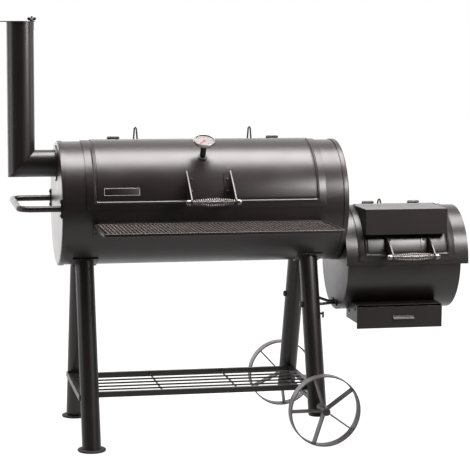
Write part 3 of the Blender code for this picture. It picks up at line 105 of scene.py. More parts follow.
def selectWhere(piece, kind, test):
    # Edit mode with only the vertices or faces selected whose place passes the test
    pickOnly(piece)
    bpy.ops.object.mode_set(mode="EDIT")
    bpy.ops.mesh.select_mode(type=kind)
    bpy.ops.mesh.select_all(action="DESELECT")
    bpy.ops.object.mode_set(mode="OBJECT")
    if kind == "VERT":
        for point in piece.data.vertices:
            point.select = test(point.co)
    else:
        for face in piece.data.polygons:
            face.select = test(face.center)
    bpy.ops.object.mode_set(mode="EDIT")


def selectBorder():
    bpy.ops.mesh.select_mode(type="EDGE")
    bpy.ops.mesh.select_all(action="DESELECT")
    bpy.ops.mesh.select_non_manifold(
        use_wire=False, use_boundary=True, use_multi_face=False,
        use_non_contiguous=False, use_verts=False,
    )


def growBorder(sideways, lift, about=(0, 0, 0)):
    # Extrudes the selected border, lifts it and scales it
    bpy.ops.mesh.extrude_edges_move(TRANSFORM_OT_translate={"value": lift})
    bpy.ops.transform.resize(value=sideways, center_override=about)


def closeHoles(piece):
    pickOnly(piece)
    bpy.ops.object.mode_set(mode="EDIT")
    bpy.ops.mesh.select_all(action="SELECT")
    bpy.ops.mesh.remove_doubles(threshold=0.00001)
    bpy.ops.mesh.fill_holes(sides=0)
    bpy.ops.mesh.select_all(action="SELECT")
    bpy.ops.mesh.normals_make_consistent(inside=False)
    bpy.ops.object.mode_set(mode="OBJECT")


def applyModifier(piece, kind, **settings):
    pickOnly(piece)
    modifier = piece.modifiers.new(kind.lower(), kind)
    for key, value in settings.items():
        setattr(modifier, key, value)
    bpy.ops.object.modifier_apply(modifier=modifier.name)


def roundEdges(piece, width, segments=2, angle=40):
    applyModifier(
        piece, "BEVEL", width=width, segments=segments, limit_method="ANGLE",
        angle_limit=radians(angle), miter_outer="MITER_ARC",
    )


def joined(pieces):
    clearSelection()
    for piece in pieces:
        piece.select_set(True)
    bpy.context.view_layer.objects.active = pieces[0]
    if len(pieces) > 1:
        bpy.ops.object.join()
    return pieces[0]


def settle(piece, name, body, finish, hides=(), angle=32):
    # Puts a piece's place in its mesh, names it, paints it and lets it ride on its body
    applyPlace(piece)
    piece.name = name
    piece.data.name = name
    bpy.ops.object.shade_smooth_by_angle(angle=radians(angle))
    piece.data.materials.clear()
    piece.data.materials.append(finish)
    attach(piece, body)
    if hides:
        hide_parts(*hides)
    return piece


def copyOf(piece, place, direction, turn=0.0):
    # A copy with its own mesh, its z axis along direction
    made = bpy.data.objects.new(piece.name, piece.data.copy())
    bpy.context.scene.collection.objects.link(made)
    aim = Vector(direction).to_track_quat("Z", "Y").to_matrix().to_4x4()
    made.matrix_world = Matrix.Translation(place) @ aim @ Matrix.Rotation(turn, 4, "Z")
    return made


def turned(outline, foot, direction, sides=40):
    # A round piece: its outline is (radius, distance along direction), and ends are closed
    direction = Vector(direction).normalized()
    foot = Vector(foot)
    radius, along = outline[0]
    clearSelection()
    bpy.ops.mesh.primitive_circle_add(
        vertices=sides, radius=radius, fill_type="NOTHING", location=foot + along * direction,
        rotation=direction.to_track_quat("Z", "Y").to_euler(),
    )
    piece = bpy.context.object
    applyPlace(piece)
    bpy.ops.object.mode_set(mode="EDIT")
    bpy.ops.mesh.select_all(action="SELECT")
    for nextRadius, nextAlong in outline[1:]:
        bpy.ops.mesh.extrude_edges_move(
            TRANSFORM_OT_translate={"value": (nextAlong - along) * direction}
        )
        share = nextRadius / radius
        bpy.ops.transform.resize(
            value=(share, share, share), center_override=foot + nextAlong * direction
        )
        radius, along = nextRadius, nextAlong
    closeHoles(piece)
    return piece


def block(size, place, edge=0.0008, segments=2):
    # A small block of metal with rounded edges; the place is its middle
    clearSelection()
    bpy.ops.mesh.primitive_cube_add(size=1, location=place, scale=size)
    piece = bpy.context.object
    applyPlace(piece)
    if edge:
        roundEdges(piece, edge, segments)
    return piece


# Finishes


def srgb(code):
    # A hex colour as linear red, green, blue and alpha
    values = [int(code[i : i + 2], 16) / 255 for i in (1, 3, 5)]
    return (*[v / 12.92 if v <= 0.04045 else ((v + 0.055) / 1.055) ** 2.4 for v in values], 1)


def addNode(tree, kind, values=None, links=None, **settings):
    node = tree.nodes.new(kind)
    for key, value in settings.items():
        setattr(node, key, value)
    for key, value in (values or {}).items():
        node.inputs[key].default_value = value
    for key, output in (links or {}).items():
        tree.links.new(output, node.inputs[key])
    return node


def paint(name, light, dark, rough, metal=0.0, patch=0.05, grain=0.0015, depth=0.00005,
          strength=0.25, stretch=(1, 1, 1), **shaderValues):
    # light and dark are the colour's two ends, rough the roughness's; patch and grain are
    # the sizes in metres of the uneven colour and of the surface's texture
    material = bpy.data.materials.new(name)
    material.use_nodes = True
    tree = material.node_tree
    shader = tree.nodes["Principled BSDF"]
    place = addNode(tree, "ShaderNodeTexCoord")
    scaled = addNode(tree, "ShaderNodeMapping", {"Scale": stretch}, {"Vector": place.outputs["Object"]})
    cloud = addNode(
        tree, "ShaderNodeTexNoise", {"Scale": 1 / patch, "Detail": 4.0, "Roughness": 0.6},
        {"Vector": scaled.outputs["Vector"]},
    )
    colour = addNode(
        tree, "ShaderNodeMixRGB", {"Color1": srgb(dark), "Color2": srgb(light)},
        {"Fac": cloud.outputs["Fac"]},
    )
    tree.links.new(colour.outputs["Color"], shader.inputs["Base Color"])
    dullness = addNode(
        tree, "ShaderNodeMapRange",
        {"From Min": 0.3, "From Max": 0.7, "To Min": rough[0], "To Max": rough[1]},
        {"Value": cloud.outputs["Fac"]},
    )
    tree.links.new(dullness.outputs["Result"], shader.inputs["Roughness"])
    texture = addNode(
        tree, "ShaderNodeTexNoise", {"Scale": 1 / grain, "Detail": 3.0},
        {"Vector": scaled.outputs["Vector"]},
    )
    bump = addNode(
        tree, "ShaderNodeBump", {"Strength": strength, "Distance": depth},
        {"Height": texture.outputs["Fac"]},
    )
    tree.links.new(bump.outputs["Normal"], shader.inputs["Normal"])
    shader.inputs["Metallic"].default_value = metal
    for key, value in shaderValues.items():
        shader.inputs[key.replace("_", " ")].default_value = value
    return material


# Heat-proof enamel baked on steel sheet: near black, semi-matt, with the faint ripple of a
# sprayed coat
enamel = paint("bakedBlackEnamel", "#1a1411", "#120d0c", (0.31, 0.37), patch=0.09, grain=0.004,
               depth=0.00006, strength=0.2, IOR=1.46)
# The same enamel on tubes and bars, a little duller and more finely rippled
barEnamel = paint("bakedBarEnamel", "#18120f", "#100c0a", (0.34, 0.42), patch=0.05, grain=0.003,
                  depth=0.00005, strength=0.2, IOR=1.45)
# Black oxide on hinges, stops and bolts: darker and duller than the enamel
blackOxide = paint("blackOxideSteel", "#171413", "#100e0d", (0.42, 0.54), patch=0.02, grain=0.002,
                   depth=0.00005, strength=0.3)
# Grey powder coat on the wheels' strips, with a fine leathery grain
wheelCoat = paint("greyPowderCoat", "#4b4648", "#3c3739", (0.42, 0.52), metal=0.15, patch=0.04,
                  grain=0.002, depth=0.00008, strength=0.3)
# Chrome plate on spring wire and cap nuts, dulled by handling
chrome = paint("chromePlate", "#7d7a77", "#686562", (0.24, 0.34), metal=1.0, patch=0.01,
               grain=0.001, depth=0.00002, strength=0.15)
# Spun stainless steel of the thermometer's case
stainless = paint("spunStainless", "#aaa8a5", "#969491", (0.26, 0.36), metal=1.0, patch=0.008,
                  grain=0.0008, depth=0.00002, strength=0.2, stretch=(1, 1, 6))
# Pale brushed metal of the name plate's frame
plateMetal = paint("brushedPlateMetal", "#a19e9a", "#8f8c88", (0.45, 0.55), metal=0.3, patch=0.01,
                   grain=0.001, depth=0.00001, strength=0.1)
# Expanded steel of the shelf, dipped in thin brown-black paint that lets the metal shine through
shelfPaint = paint("dippedBrownPaint", "#7f7874", "#57514e", (0.30, 0.42), metal=0.75, patch=0.012,
                   grain=0.002, depth=0.0001, strength=0.3)
# Cast iron straight from the sand, seasoned with oil: rough, with 1 mm pits
castIron = paint("seasonedCastIron", "#2b2928", "#1d1c1b", (0.50, 0.68), metal=0.35, patch=0.015,
                 grain=0.0015, depth=0.0002, strength=0.6)
# Moulded rubber of the feet, evenly matt
footRubber = paint("mouldedRubber", "#1d1c1c", "#151414", (0.70, 0.82), patch=0.02, grain=0.002,
                   depth=0.0001, strength=0.4)
# Enamel of the dial, a grey that the light overhead brings up to white, and its print and pointer
dialWhite = paint("whiteDialEnamel", "#6e6c6a", "#646260", (0.28, 0.36), patch=0.02, grain=0.004,
                  depth=0.00002, strength=0.1)
dialPrint = paint("blackDialPrint", "#2a2828", "#1f1d1d", (0.45, 0.55), patch=0.01, grain=0.002,
                  depth=0.00001, strength=0.1)
pointerRed = paint("redPointerLacquer", "#8e1e18", "#781713", (0.35, 0.45), patch=0.01,
                   grain=0.002, depth=0.00001, strength=0.1)


# CAD nodes that keep their shape, each with the width of its worked edges


def finishedCopy(node, finish, edge=0.0008, segments=2, angle=32):
    # The node's own shape with merged points, worked edges and smooth rounds
    source = frame["nodes"][node]
    piece = bpy.data.objects.new(node + "_finished", source.data.copy())
    bpy.context.scene.collection.objects.link(piece)
    pickOnly(piece)
    bpy.ops.mesh.customdata_custom_splitnormals_clear()
    bpy.ops.object.mode_set(mode="EDIT")
    bpy.ops.mesh.select_all(action="SELECT")
    bpy.ops.mesh.remove_doubles(threshold=0.000005)
    bpy.ops.mesh.dissolve_limited(angle_limit=radians(0.4))
    bpy.ops.object.mode_set(mode="OBJECT")
    if edge:
        roundEdges(piece, edge, segments, angle)
    settle(piece, node + "_finished", source["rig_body"], finish, [node], angle)
    applyModifier(piece, "WEIGHTED_NORMAL", keep_sharp=True)  # flat faces stay flat beside the rounds
    return piece


keptEnamel = {
    "chamber_barrel": 0.0006, "chamber_end_left": 0.0008, "chamber_end_right": 0.0008,
    "firebox_trough": 0.0006, "firebox_hood": 0.0008, "firebox_end_left": 0.0006,
    "firebox_end_right": 0.0006, "ash_housing": 0.0008, "ash_drawer": 0.0010,
    "warming_box": 0.0008, "chimney_elbow": 0.0008, "chimney_pipe": 0.0008,
    "chimney_cap": 0.0008, "cap_pivot": 0.0006, "chamber_handle_fin_left": 0.0009,
    "chamber_handle_fin_right": 0.0009, "firebox_handle_fin_left": 0.0009,
    "firebox_handle_fin_right": 0.0009,
}
for node, edge in keptEnamel.items():
    finishedCopy(node, enamel, edge)
print("enamelled sheet parts are finished")

keptBars = {
    "leg_front_left": 0.0008, "leg_rear_left": 0.0008, "leg_front_right": 0.0008,
    "leg_rear_right": 0.0008, "rack": 0.0006, "strut_left": 0.0006, "strut_right": 0.0006,
    "shelf_bracket_left": 0.0006, "shelf_bracket_right": 0.0006, "pull_handle": 0.0006,
}
for node, edge in keptBars.items():
    finishedCopy(node, barEnamel, edge)
for node in (
    "hinge_base_left", "hinge_base_right", "firebox_hinge_left", "firebox_hinge_right",
    "lid_stop_left", "lid_stop_right", "firebox_lid_stop", "brace_front", "brace_rear", "axle",
    "air_damper", "grate_rail_front", "grate_rail_rear",
):
    finishedCopy(node, blackOxide, 0.0004)
for node in ("wheel_front", "wheel_rear"):
    finishedCopy(node, wheelCoat, 0.0006)
for node in ("cooking_grate_left", "cooking_grate_right", "charcoal_grate"):
    finishedCopy(node, castIron, 0.0012)
for node in ("foot_front_left", "foot_rear_left"):
    finishedCopy(node, footRubber, 0.0008)
finishedCopy("thermometer_needle", pointerRed, 0.0001)
print("legs, rack, hinges, wheels and grates are finished")


# The two lids: pressed flat, then rolled. Angles are from the drum's front; the chamber's panel
# ends below its lid stops, so that its bead misses them when the lid is open.

chamberLid = {
    "length": 0.786, "low": -1.0, "high": 96.0, "panel": 0.740, "panelLow": 4.0,
    "panelHigh": 84.5, "corner": 0.020, "radius": 0.2068, "sheet": 0.003, "middle": 0.0,
    "height": chamber["height"],
}
fireLid = {
    "length": 0.334, "low": 3.0, "high": 96.0, "panel": 0.294, "panelLow": 8.4,
    "panelHigh": 88.0, "corner": 0.020, "radius": 0.1808, "sheet": 0.0025, "middle": 0.68035,
    "height": firebox["height"],
}
# The pressed bead round each panel: how far in from the panel's edge, and the height there
bead = {
    "inside": 0.0145, "rise": 0.003,
    "ways": ((0.0130, 0.0028), (0.0115, 0.0016), (0.0102, 0.0011), (0.0092, 0.0010), (0.0054, 0.0050),
             (0.0044, 0.0053), (0.0034, 0.0050), (0.0012, 0.0028), (0.0002, 0.0012), (-0.0006, 0.0003),
             (-0.0016, 0.0000)),
    "row": 2.5, "edge": 0.0007,
}


def roundedPlate(width, depth, corner, cornerSides=32):
    # A flat face with round corners: a disc whose quarters are moved apart
    clearSelection()
    bpy.ops.mesh.primitive_circle_add(
        vertices=cornerSides, radius=corner, fill_type="NGON", rotation=(0, 0, pi / cornerSides)
    )
    piece = bpy.context.object
    applyPlace(piece)
    for sideX, sideY in ((1, 1), (-1, 1), (-1, -1), (1, -1)):
        selectWhere(piece, "VERT", lambda p: p.x * sideX > 0 and p.y * sideY > 0)
        shift = (sideX * (width / 2 - corner), sideY * (depth / 2 - corner), 0)
        bpy.ops.transform.translate(value=shift)
    return piece


def rollSheet(piece, radius, turn, middleX, height):
    # Rolls a flat sheet round a drum: its y becomes the way round, its z the way out
    bpy.ops.object.mode_set(mode="OBJECT")
    for point in piece.data.vertices:
        angle = degrees(turn + point.co.y / radius)
        point.co = onDrum(angle, radius + point.co.z, middleX + point.co.x, height)
    piece.data.update()


def cutRows(low, high, every):
    # Cuts the flat sheet into rows, so that it can be rolled
    count = round((high - low) / every)
    for i in range(1, count):
        bpy.ops.mesh.select_all(action="SELECT")
        bpy.ops.mesh.bisect(plane_co=(0, low + (high - low) * i / count, 0), plane_no=(0, 1, 0))


def pressedLid(name, node, lid):
    radius = lid["radius"]
    panelWay = radians(lid["panelHigh"] - lid["panelLow"]) * radius
    lidWay = radians(lid["high"] - lid["low"]) * radius
    panelTurn = radians(lid["panelHigh"] + lid["panelLow"]) / 2
    lidTurn = radians(lid["high"] + lid["low"]) / 2
    wide, deep, level = lid["panel"] - 2 * bead["inside"], panelWay - 2 * bead["inside"], bead["rise"]
    piece = roundedPlate(wide, deep, lid["corner"] - bead["inside"])
    bpy.ops.mesh.select_all(action="SELECT")
    bpy.ops.transform.translate(value=(0, 0, level))
    selectBorder()
    for inside, nextLevel in bead["ways"]:
        nextWide, nextDeep = lid["panel"] - 2 * inside, panelWay - 2 * inside
        growBorder((nextWide / wide, nextDeep / deep, 1), (0, 0, nextLevel - level))
        wide, deep, level = nextWide, nextDeep, nextLevel
    growBorder((lid["length"] / wide, lidWay / deep, 1), (0, 0, 0))
    shift = (lidTurn - panelTurn) * radius
    bpy.ops.transform.translate(value=(0, shift, 0))
    bpy.ops.mesh.select_mode(type="FACE")
    cutRows(shift - lidWay / 2, shift + lidWay / 2, radians(bead["row"]) * radius)
    rollSheet(piece, radius, panelTurn, lid["middle"], lid["height"])
    applyModifier(piece, "SOLIDIFY", thickness=lid["sheet"], offset=-1, use_even_offset=True)
    roundEdges(piece, bead["edge"], 2, 55)
    return settle(piece, name, node, enamel, [node], 24)


pressedLid("chamber_lid_shell", "chamber_lid", chamberLid)
pressedLid("firebox_lid_shell", "firebox_lid", fireLid)
print("both lids are pressed and rolled")


# Straps that hold each lid's knuckles to its back edge

hinge = {
    "place": 98.0, "rise": 0.0105, "knuckle": 0.0055, "width": 0.017, "round": 0.0006,
    "strap": 0.003, "strapStart": 92.0, "sink": 0.0004, "lap": 0.012,
    "chamberSpots": (-0.279, 0.261),
    "fireboxSpots": (fireLid["middle"] - firebox["hinges"], fireLid["middle"] + firebox["hinges"]),
}


def hingeStraps(name, body, centres, drum, lid):
    radius, width, worn = hinge["knuckle"], hinge["width"], hinge["round"]
    barrel = [(radius - worn, 0), (radius, worn), (radius, width - worn), (radius - worn, width)]
    parts = []
    for x in centres:
        axis = onDrum(hinge["place"], drum["radius"] + hinge["rise"], x, drum["height"])
        parts.append(turned(barrel, axis - Vector((width / 2, 0, 0)), (1, 0, 0), 24))
        seat = lid["radius"] + hinge["strap"] / 2 - hinge["sink"]
        edge = onDrum(hinge["strapStart"], seat, x, drum["height"])
        reach = axis.y - edge.y + hinge["lap"]
        place = edge + Vector((0, reach / 2 - hinge["lap"], 0))
        parts.append(block((width, reach, hinge["strap"]), place))
    return settle(joined(parts), name, body, enamel)


hingeStraps("chamber_lid_straps", "chamber_lid", hinge["chamberSpots"], chamber, chamberLid)
hingeStraps("firebox_lid_straps", "firebox_lid", hinge["fireboxSpots"], firebox, fireLid)


# Handles: a rod with domed nuts, and a spring coiled round it

grip = {"ends": 0.009, "middle": 0.0155, "reach": 0.0695, "wire": 0.0015, "turns": 19}
rod = {
    "face": 0.0743,
    "nut": ((0.0015, 0.0180), (0.0042, 0.0174), (0.0066, 0.0156), (0.0082, 0.0130), (0.0087, 0.0102),
            (0.0094, 0.0098), (0.0095, 0.0090), (0.0095, 0.0012), (0.0088, 0.0003), (0.0050, 0.0003)),
}


def springGrip(name, node, body, place):
    clearSelection()
    wire, reach = grip["wire"], grip["reach"] - grip["wire"]
    bpy.ops.mesh.primitive_circle_add(
        vertices=10, radius=wire, fill_type="NOTHING", location=(grip["ends"] - wire, 0, -reach),
        rotation=(pi / 2, 0, 0),
    )
    piece = bpy.context.object
    applyPlace(piece)
    applyModifier(
        piece, "SCREW", axis="Z", angle=2 * pi * grip["turns"], screw_offset=2 * reach,
        steps=grip["turns"] * 20, render_steps=grip["turns"] * 20,
    )
    for point in piece.data.vertices:  # the coils swell towards the middle of the grip
        distance = hypot(point.co.x, point.co.y)
        swell = (grip["middle"] - grip["ends"]) * cos(point.co.z / grip["reach"] * pi / 2)
        point.co.x *= (distance + swell) / distance
        point.co.y *= (distance + swell) / distance
    closeHoles(piece)
    piece.matrix_world = Matrix.Translation(place) @ Matrix.Rotation(pi / 2, 4, "Y")
    return settle(piece, name, body, chrome, [node], 60)


def handleRod(name, node, body, place):
    half = [(radius, rod["face"] + along) for radius, along in rod["nut"]]
    outline = [(radius, -along) for radius, along in half] + half[::-1]
    piece = turned(outline, place, (1, 0, 0), 32)
    return settle(piece, name, body, chrome, [node])


panelRise, rodReach, finSpread = bead["rise"], 0.0652, 0.072
handles = {
    "chamber": {"x": 0.005, "rise": 0.022, "lid": chamberLid},
    "firebox": {"x": fireLid["middle"], "rise": 0.0315, "lid": fireLid},
}
for name, handle in handles.items():
    lid = handle["lid"]
    place = at(handle["x"], -(lid["radius"] + panelRise + rodReach), lid["height"] + handle["rise"])
    springGrip(name + "_spring_grip", name + "_handle_grip", name + "_lid", place)
    handleRod(name + "_rod_and_nuts", name + "_handle_rod", name + "_lid", place)
print("spring grips are wound")


# Thermometer

dial = {
    "x": -0.0075, "angle": 48.7, "tilt": 62.0, "face": 0.0612, "marks": 31, "markRadius": 0.0285,
    "numbers": 7, "numberRadius": 0.0205, "numberSize": 0.0052, "start": 225, "sweep": 270,
}
dialOut = Vector((0, -cos(radians(dial["tilt"])), sin(radians(dial["tilt"]))))
dialUp = Vector((0, dialOut.z, -dialOut.y))
dialSeat = onDrum(dial["angle"], chamberLid["radius"] + panelRise, dial["x"], chamber["height"])
caseOutline = [
    (0.0105, 0.0500), (0.0290, 0.0540), (0.0338, 0.0552), (0.0349, 0.0570), (0.0350, 0.0590),
    (0.0350, 0.0640), (0.0346, 0.0653), (0.0338, 0.0660), (0.0328, 0.0659), (0.0322, 0.0650),
    (0.0320, 0.0640), (0.0320, 0.0608),
]
case = turned(caseOutline, dialSeat, dialOut, 64)
settle(case, "thermometer_case", "chamber_lid", stainless, ["thermometer"])
stem = turned(
    [(0.0030, -0.055), (0.0030, -0.003), (0.0090, -0.003), (0.0095, -0.002), (0.0095, 0.0505)],
    dialSeat, dialOut, 40,
)
collar = turned(
    [(0.0150, 0.0002), (0.0158, 0.0010), (0.0155, 0.0035), (0.0135, 0.0048), (0.0098, 0.0052)],
    dialSeat, outOfDrum(dial["angle"]), 40,
)
settle(joined([stem, collar]), "thermometer_stem", "chamber_lid", blackOxide)
face = turned([(0.0316, 0.0604), (0.0317, 0.0609), (0.0315, 0.0611)], dialSeat, dialOut, 64)
settle(face, "thermometer_dial", "chamber_lid", dialWhite)

marks = []
dialFrame = Matrix((Vector((1, 0, 0)), dialUp, dialOut)).transposed().to_4x4()
dialFrame.translation = dialSeat + dial["face"] * dialOut
for i in range(dial["marks"]):  # every fifth mark is longer and thicker
    length, thick = (0.0040, 0.0008) if i % 5 == 0 else (0.0022, 0.0004)
    turn = radians(dial["start"] - dial["sweep"] * i / (dial["marks"] - 1))
    mark = block((length, thick, 0.0002), (0, 0, 0), 0)
    spot = dial["markRadius"] - length / 2
    mark.matrix_world = dialFrame @ Matrix.Rotation(turn, 4, "Z") @ Matrix.Translation((spot, 0, 0))
    marks.append(mark)
for i in range(dial["numbers"]):
    turn = radians(dial["start"] - dial["sweep"] * i / (dial["numbers"] - 1))
    clearSelection()
    bpy.ops.object.text_add()
    number = bpy.context.object
    number.data.body = str(50 * (i + 1))
    number.data.size = dial["numberSize"]
    number.data.extrude = 0.0001
    number.data.align_x, number.data.align_y = "CENTER", "CENTER"
    spot = dial["numberRadius"] * Vector((cos(turn), sin(turn), 0))
    number.matrix_world = dialFrame @ Matrix.Translation(spot)
    pickOnly(number)
    bpy.ops.object.convert(target="MESH")
    marks.append(bpy.context.object)
settle(joined(marks), "thermometer_marks", "chamber_lid", dialPrint)
print("thermometer is built")


# Blank name plate: a thin black plate in a bright frame

plate = {"left": -0.338, "right": -0.223, "low": 11.3, "high": 18.0, "frame": 0.0018, "thick": 0.0009}
surface = chamberLid["radius"] + panelRise
plateWay = radians(plate["high"] - plate["low"]) * surface
plateMiddle = (plate["left"] + plate["right"]) / 2
for name, inset, slotName, finish in (
    ("name_plate_frame", 0.0, "bright_steel", plateMetal),
    ("name_plate_field", plate["frame"], "black_enamel", barEnamel),
):
    piece = roundedPlate(plate["right"] - plate["left"] - 2 * inset, plateWay - 2 * inset, 0.002)
    bpy.ops.mesh.select_mode(type="FACE")
    if not inset:
        bpy.ops.mesh.select_all(action="SELECT")
        bpy.ops.mesh.inset(thickness=plate["frame"])
        bpy.ops.mesh.delete(type="FACE")
    cutRows(-plateWay / 2, plateWay / 2, plateWay / 8)
    thick = plate["thick"] if not inset else plate["thick"] * 0.6
    bpy.ops.mesh.select_all(action="SELECT")
    bpy.ops.transform.translate(value=(0, 0, thick))
    rollSheet(piece, surface, radians(plate["high"] + plate["low"]) / 2, plateMiddle, chamber["height"])
    applyModifier(piece, "SOLIDIFY", thickness=thick, offset=-1)
    roundEdges(piece, 0.0003, 2, 50)
    settle(piece, name, "chamber_lid", finish)


# Front shelf: expanded steel in a folded rim

shelf = {
    "left": -0.375, "right": 0.385, "front": -0.488, "back": -0.212, "top": 0.7265, "lip": 0.010,
    "rim": 0.007, "corner": 0.018, "mesh": (0.0125, 0.0068), "strand": 0.0013, "sheet": 0.0016,
    "overlap": (1.12, 1.16), "twist": 7.0, "sink": 0.0030,
}
shelfWide = shelf["right"] - shelf["left"]
shelfDeep = shelf["back"] - shelf["front"]
shelfMiddle = at((shelf["left"] + shelf["right"]) / 2, (shelf["front"] + shelf["back"]) / 2, shelf["top"])
rim = roundedPlate(shelfWide, shelfDeep, shelf["corner"])
bpy.ops.mesh.select_mode(type="FACE")
bpy.ops.mesh.select_all(action="SELECT")
bpy.ops.mesh.inset(thickness=shelf["rim"])
bpy.ops.mesh.delete(type="FACE")
bpy.ops.object.mode_set(mode="OBJECT")
rim.location = shelfMiddle
applyModifier(rim, "SOLIDIFY", thickness=shelf["lip"], offset=-1)
roundEdges(rim, 0.0020, 3, 40)
settle(rim, "shelf_rim", "smoker", barEnamel, ["front_shelf"])

cellWide, cellDeep = shelf["mesh"]
clearSelection()
bpy.ops.mesh.primitive_circle_add(vertices=4, radius=0.5, fill_type="NGON")
lattice = bpy.context.object
lattice.scale = (cellWide * shelf["overlap"][0], cellDeep * shelf["overlap"][1], 1)
applyPlace(lattice)
bpy.ops.object.mode_set(mode="EDIT")
bpy.ops.mesh.select_all(action="SELECT")
bpy.ops.mesh.inset(thickness=shelf["strand"])
bpy.ops.mesh.delete(type="FACE")
bpy.ops.mesh.select_all(action="SELECT")
bpy.ops.transform.rotate(value=radians(shelf["twist"]), orient_axis="X", center_override=(0, 0, 0))
bpy.ops.object.mode_set(mode="OBJECT")
applyModifier(lattice, "SOLIDIFY", thickness=shelf["sheet"], offset=0)
insideWide, insideDeep = shelfWide - 2 * shelf["rim"], shelfDeep - 2 * shelf["rim"]
columns, rows = int(insideWide / cellWide), int(insideDeep / cellDeep)
for count, way in ((columns, (cellWide, 0, 0)), (rows, (0, cellDeep, 0))):
    applyModifier(
        lattice, "ARRAY", count=count, use_relative_offset=False, use_constant_offset=True,
        constant_offset_displace=way,
    )
lattice.location = shelfMiddle - Vector(
    ((columns - 1) * cellWide / 2, (rows - 1) * cellDeep / 2, shelf["sink"])
)
settle(lattice, "shelf_expanded_steel", "smoker", shelfPaint)
print("shelf is made of", columns * rows, "diamonds")


# Bolts, rivets and nuts, each drawn once at the origin with its axis up


upward = (0, 0, 1)


def hexBolt(across, high, washer):
    clearSelection()
    bpy.ops.mesh.primitive_cylinder_add(
        vertices=6, radius=across / sqrt(3), depth=high, location=(0, 0, high / 2 + washer)
    )
    head = bpy.context.object
    roundEdges(head, across * 0.06, 2, 40)
    outline = [(across * 0.66, 0), (across * 0.70, washer * 0.4), (across * 0.66, washer)]
    return joined([head, turned(outline, (0, 0, 0), upward, 24)])


def domeRivet(radius, high):
    shares = ((1, 0), (1, 0.25), (0.9, 0.55), (0.68, 0.82), (0.3, 1))
    return turned([(radius * out, high * up) for out, up in shares], (0, 0, 0), upward, 20)


def fasteners(name, master, spots, body):
    parts = [copyOf(master, place, way, 0.4 * i) for i, (place, way) in enumerate(spots)]
    return settle(joined(parts), name, body, blackOxide)


def spotOnDrum(angle, radius, x, height):
    return onDrum(angle, radius, x, height), outOfDrum(angle)


boltSpots = {
    "plate": 0.0043,  # the thickness of what the bolts hold, over the chamber's sheet
    "padSpread": 0.188, "padReach": 0.022, "flueHeight": 0.907, "flangeCircle": 0.0515,
    "saddles": (-0.388, 0.3645), "saddleAngle": 75.8, "saddleReach": 0.035,
    "brackets": (-0.363, 0.373), "bracketAngle": -24.0,
    "hingeAngle": 102.5, "hingePlate": 0.0033, "hingeReach": 0.010,
    "firebox": ((0.507, -0.085, 0.403), (0.507, -0.160, 0.420), (0.4785, 0.0365, 0.4291),
                (0.4785, -0.0365, 0.4291), (0.800, -0.085, 0.403), (0.800, -0.160, 0.420)),
    "rivetAngles": (14.0, 25.0), "rivetInset": 0.013, "rivetPlate": 0.0023,
}
smallBolt = hexBolt(0.0085, 0.0036, 0.0012)
rivet = domeRivet(0.0040, 0.0024)
left, right = Vector((-1, 0, 0)), Vector((1, 0, 0))

spots = []
capFace = -chamber["half"] - boltSpots["plate"]
boltSeat = chamber["radius"] + boltSpots["plate"]
for y in (-boltSpots["padSpread"], boltSpots["padSpread"]):  # the pull handle's pads
    for rise in (-boltSpots["padReach"], boltSpots["padReach"]):
        spots.append((at(capFace, y, chamber["height"] + rise), left))
for i in range(4):  # the chimney's flange
    turn = radians(45 + 90 * i)
    side, rise = boltSpots["flangeCircle"] * cos(turn), boltSpots["flangeCircle"] * sin(turn)
    spots.append((at(capFace, side, boltSpots["flueHeight"] + rise), left))
for x in boltSpots["saddles"]:
    for angle in (-boltSpots["saddleAngle"], boltSpots["saddleAngle"] - 180):
        for reach in (-boltSpots["saddleReach"], boltSpots["saddleReach"]):
            spots.append(spotOnDrum(angle, boltSeat, x + reach, chamber["height"]))
for x in boltSpots["brackets"]:
    spots.append(spotOnDrum(boltSpots["bracketAngle"], boltSeat, x, chamber["height"]))
for drum, centres in ((chamber, hinge["chamberSpots"]), (firebox, hinge["fireboxSpots"])):
    seat = drum["radius"] + boltSpots["hingePlate"]
    for x in centres:
        for side in (-boltSpots["hingeReach"], boltSpots["hingeReach"]):
            spots.append(spotOnDrum(boltSpots["hingeAngle"], seat, x + side, drum["height"]))
fasteners("frame_bolts", smallBolt, spots, "smoker")

spots = [(at(*place), right if place[0] > fireLid["middle"] else left) for place in boltSpots["firebox"]]
fasteners("firebox_bolts", smallBolt, spots, "smoker")

for name, handle in handles.items():
    lid = handle["lid"]
    spots = []
    for side in (-1, 1):
        x = handle["x"] + side * (finSpread - boltSpots["rivetInset"])
        for angle in boltSpots["rivetAngles"]:
            seat = lid["radius"] + panelRise + boltSpots["rivetPlate"]
            spots.append(spotOnDrum(angle, seat, x, lid["height"]))
    fasteners(name + "_handle_rivets", rivet, spots, name + "_lid")

for master in (smallBolt, rivet):
    bpy.data.objects.remove(master, do_unlink=True)
print("bolts and rivets are in")


# Wing nut on the chimney cap's pivot, and the clip on the front right leg

wingNut = {
    "flue": -0.585, "offset": 0.0535, "angle": 40.0, "seat": 1.3698, "wingReach": 0.0088, "wingRise": 0.0072,
    "hub": ((0.0058, 0), (0.0062, 0.0006), (0.0056, 0.0070), (0.0048, 0.0078)),
    "wing": ((0.0012, -0.0011), (0.0048, -0.0009), (0.0056, 0), (0.0048, 0.0009), (0.0012, 0.0011)),
}
turn = radians(wingNut["angle"])
pivot = at(
    wingNut["flue"] + wingNut["offset"] * cos(turn), wingNut["offset"] * sin(turn), wingNut["seat"]
)
hub = turned(wingNut["hub"], pivot, upward, 24)
wings = []
for side in (-1, 1):
    place = pivot + Vector((side * wingNut["wingReach"], 0, wingNut["wingRise"]))
    wings.append(turned(wingNut["wing"], place, (0, 1, 0), 24))
settle(joined([hub] + wings), "cap_wing_nut", "smoker", blackOxide)

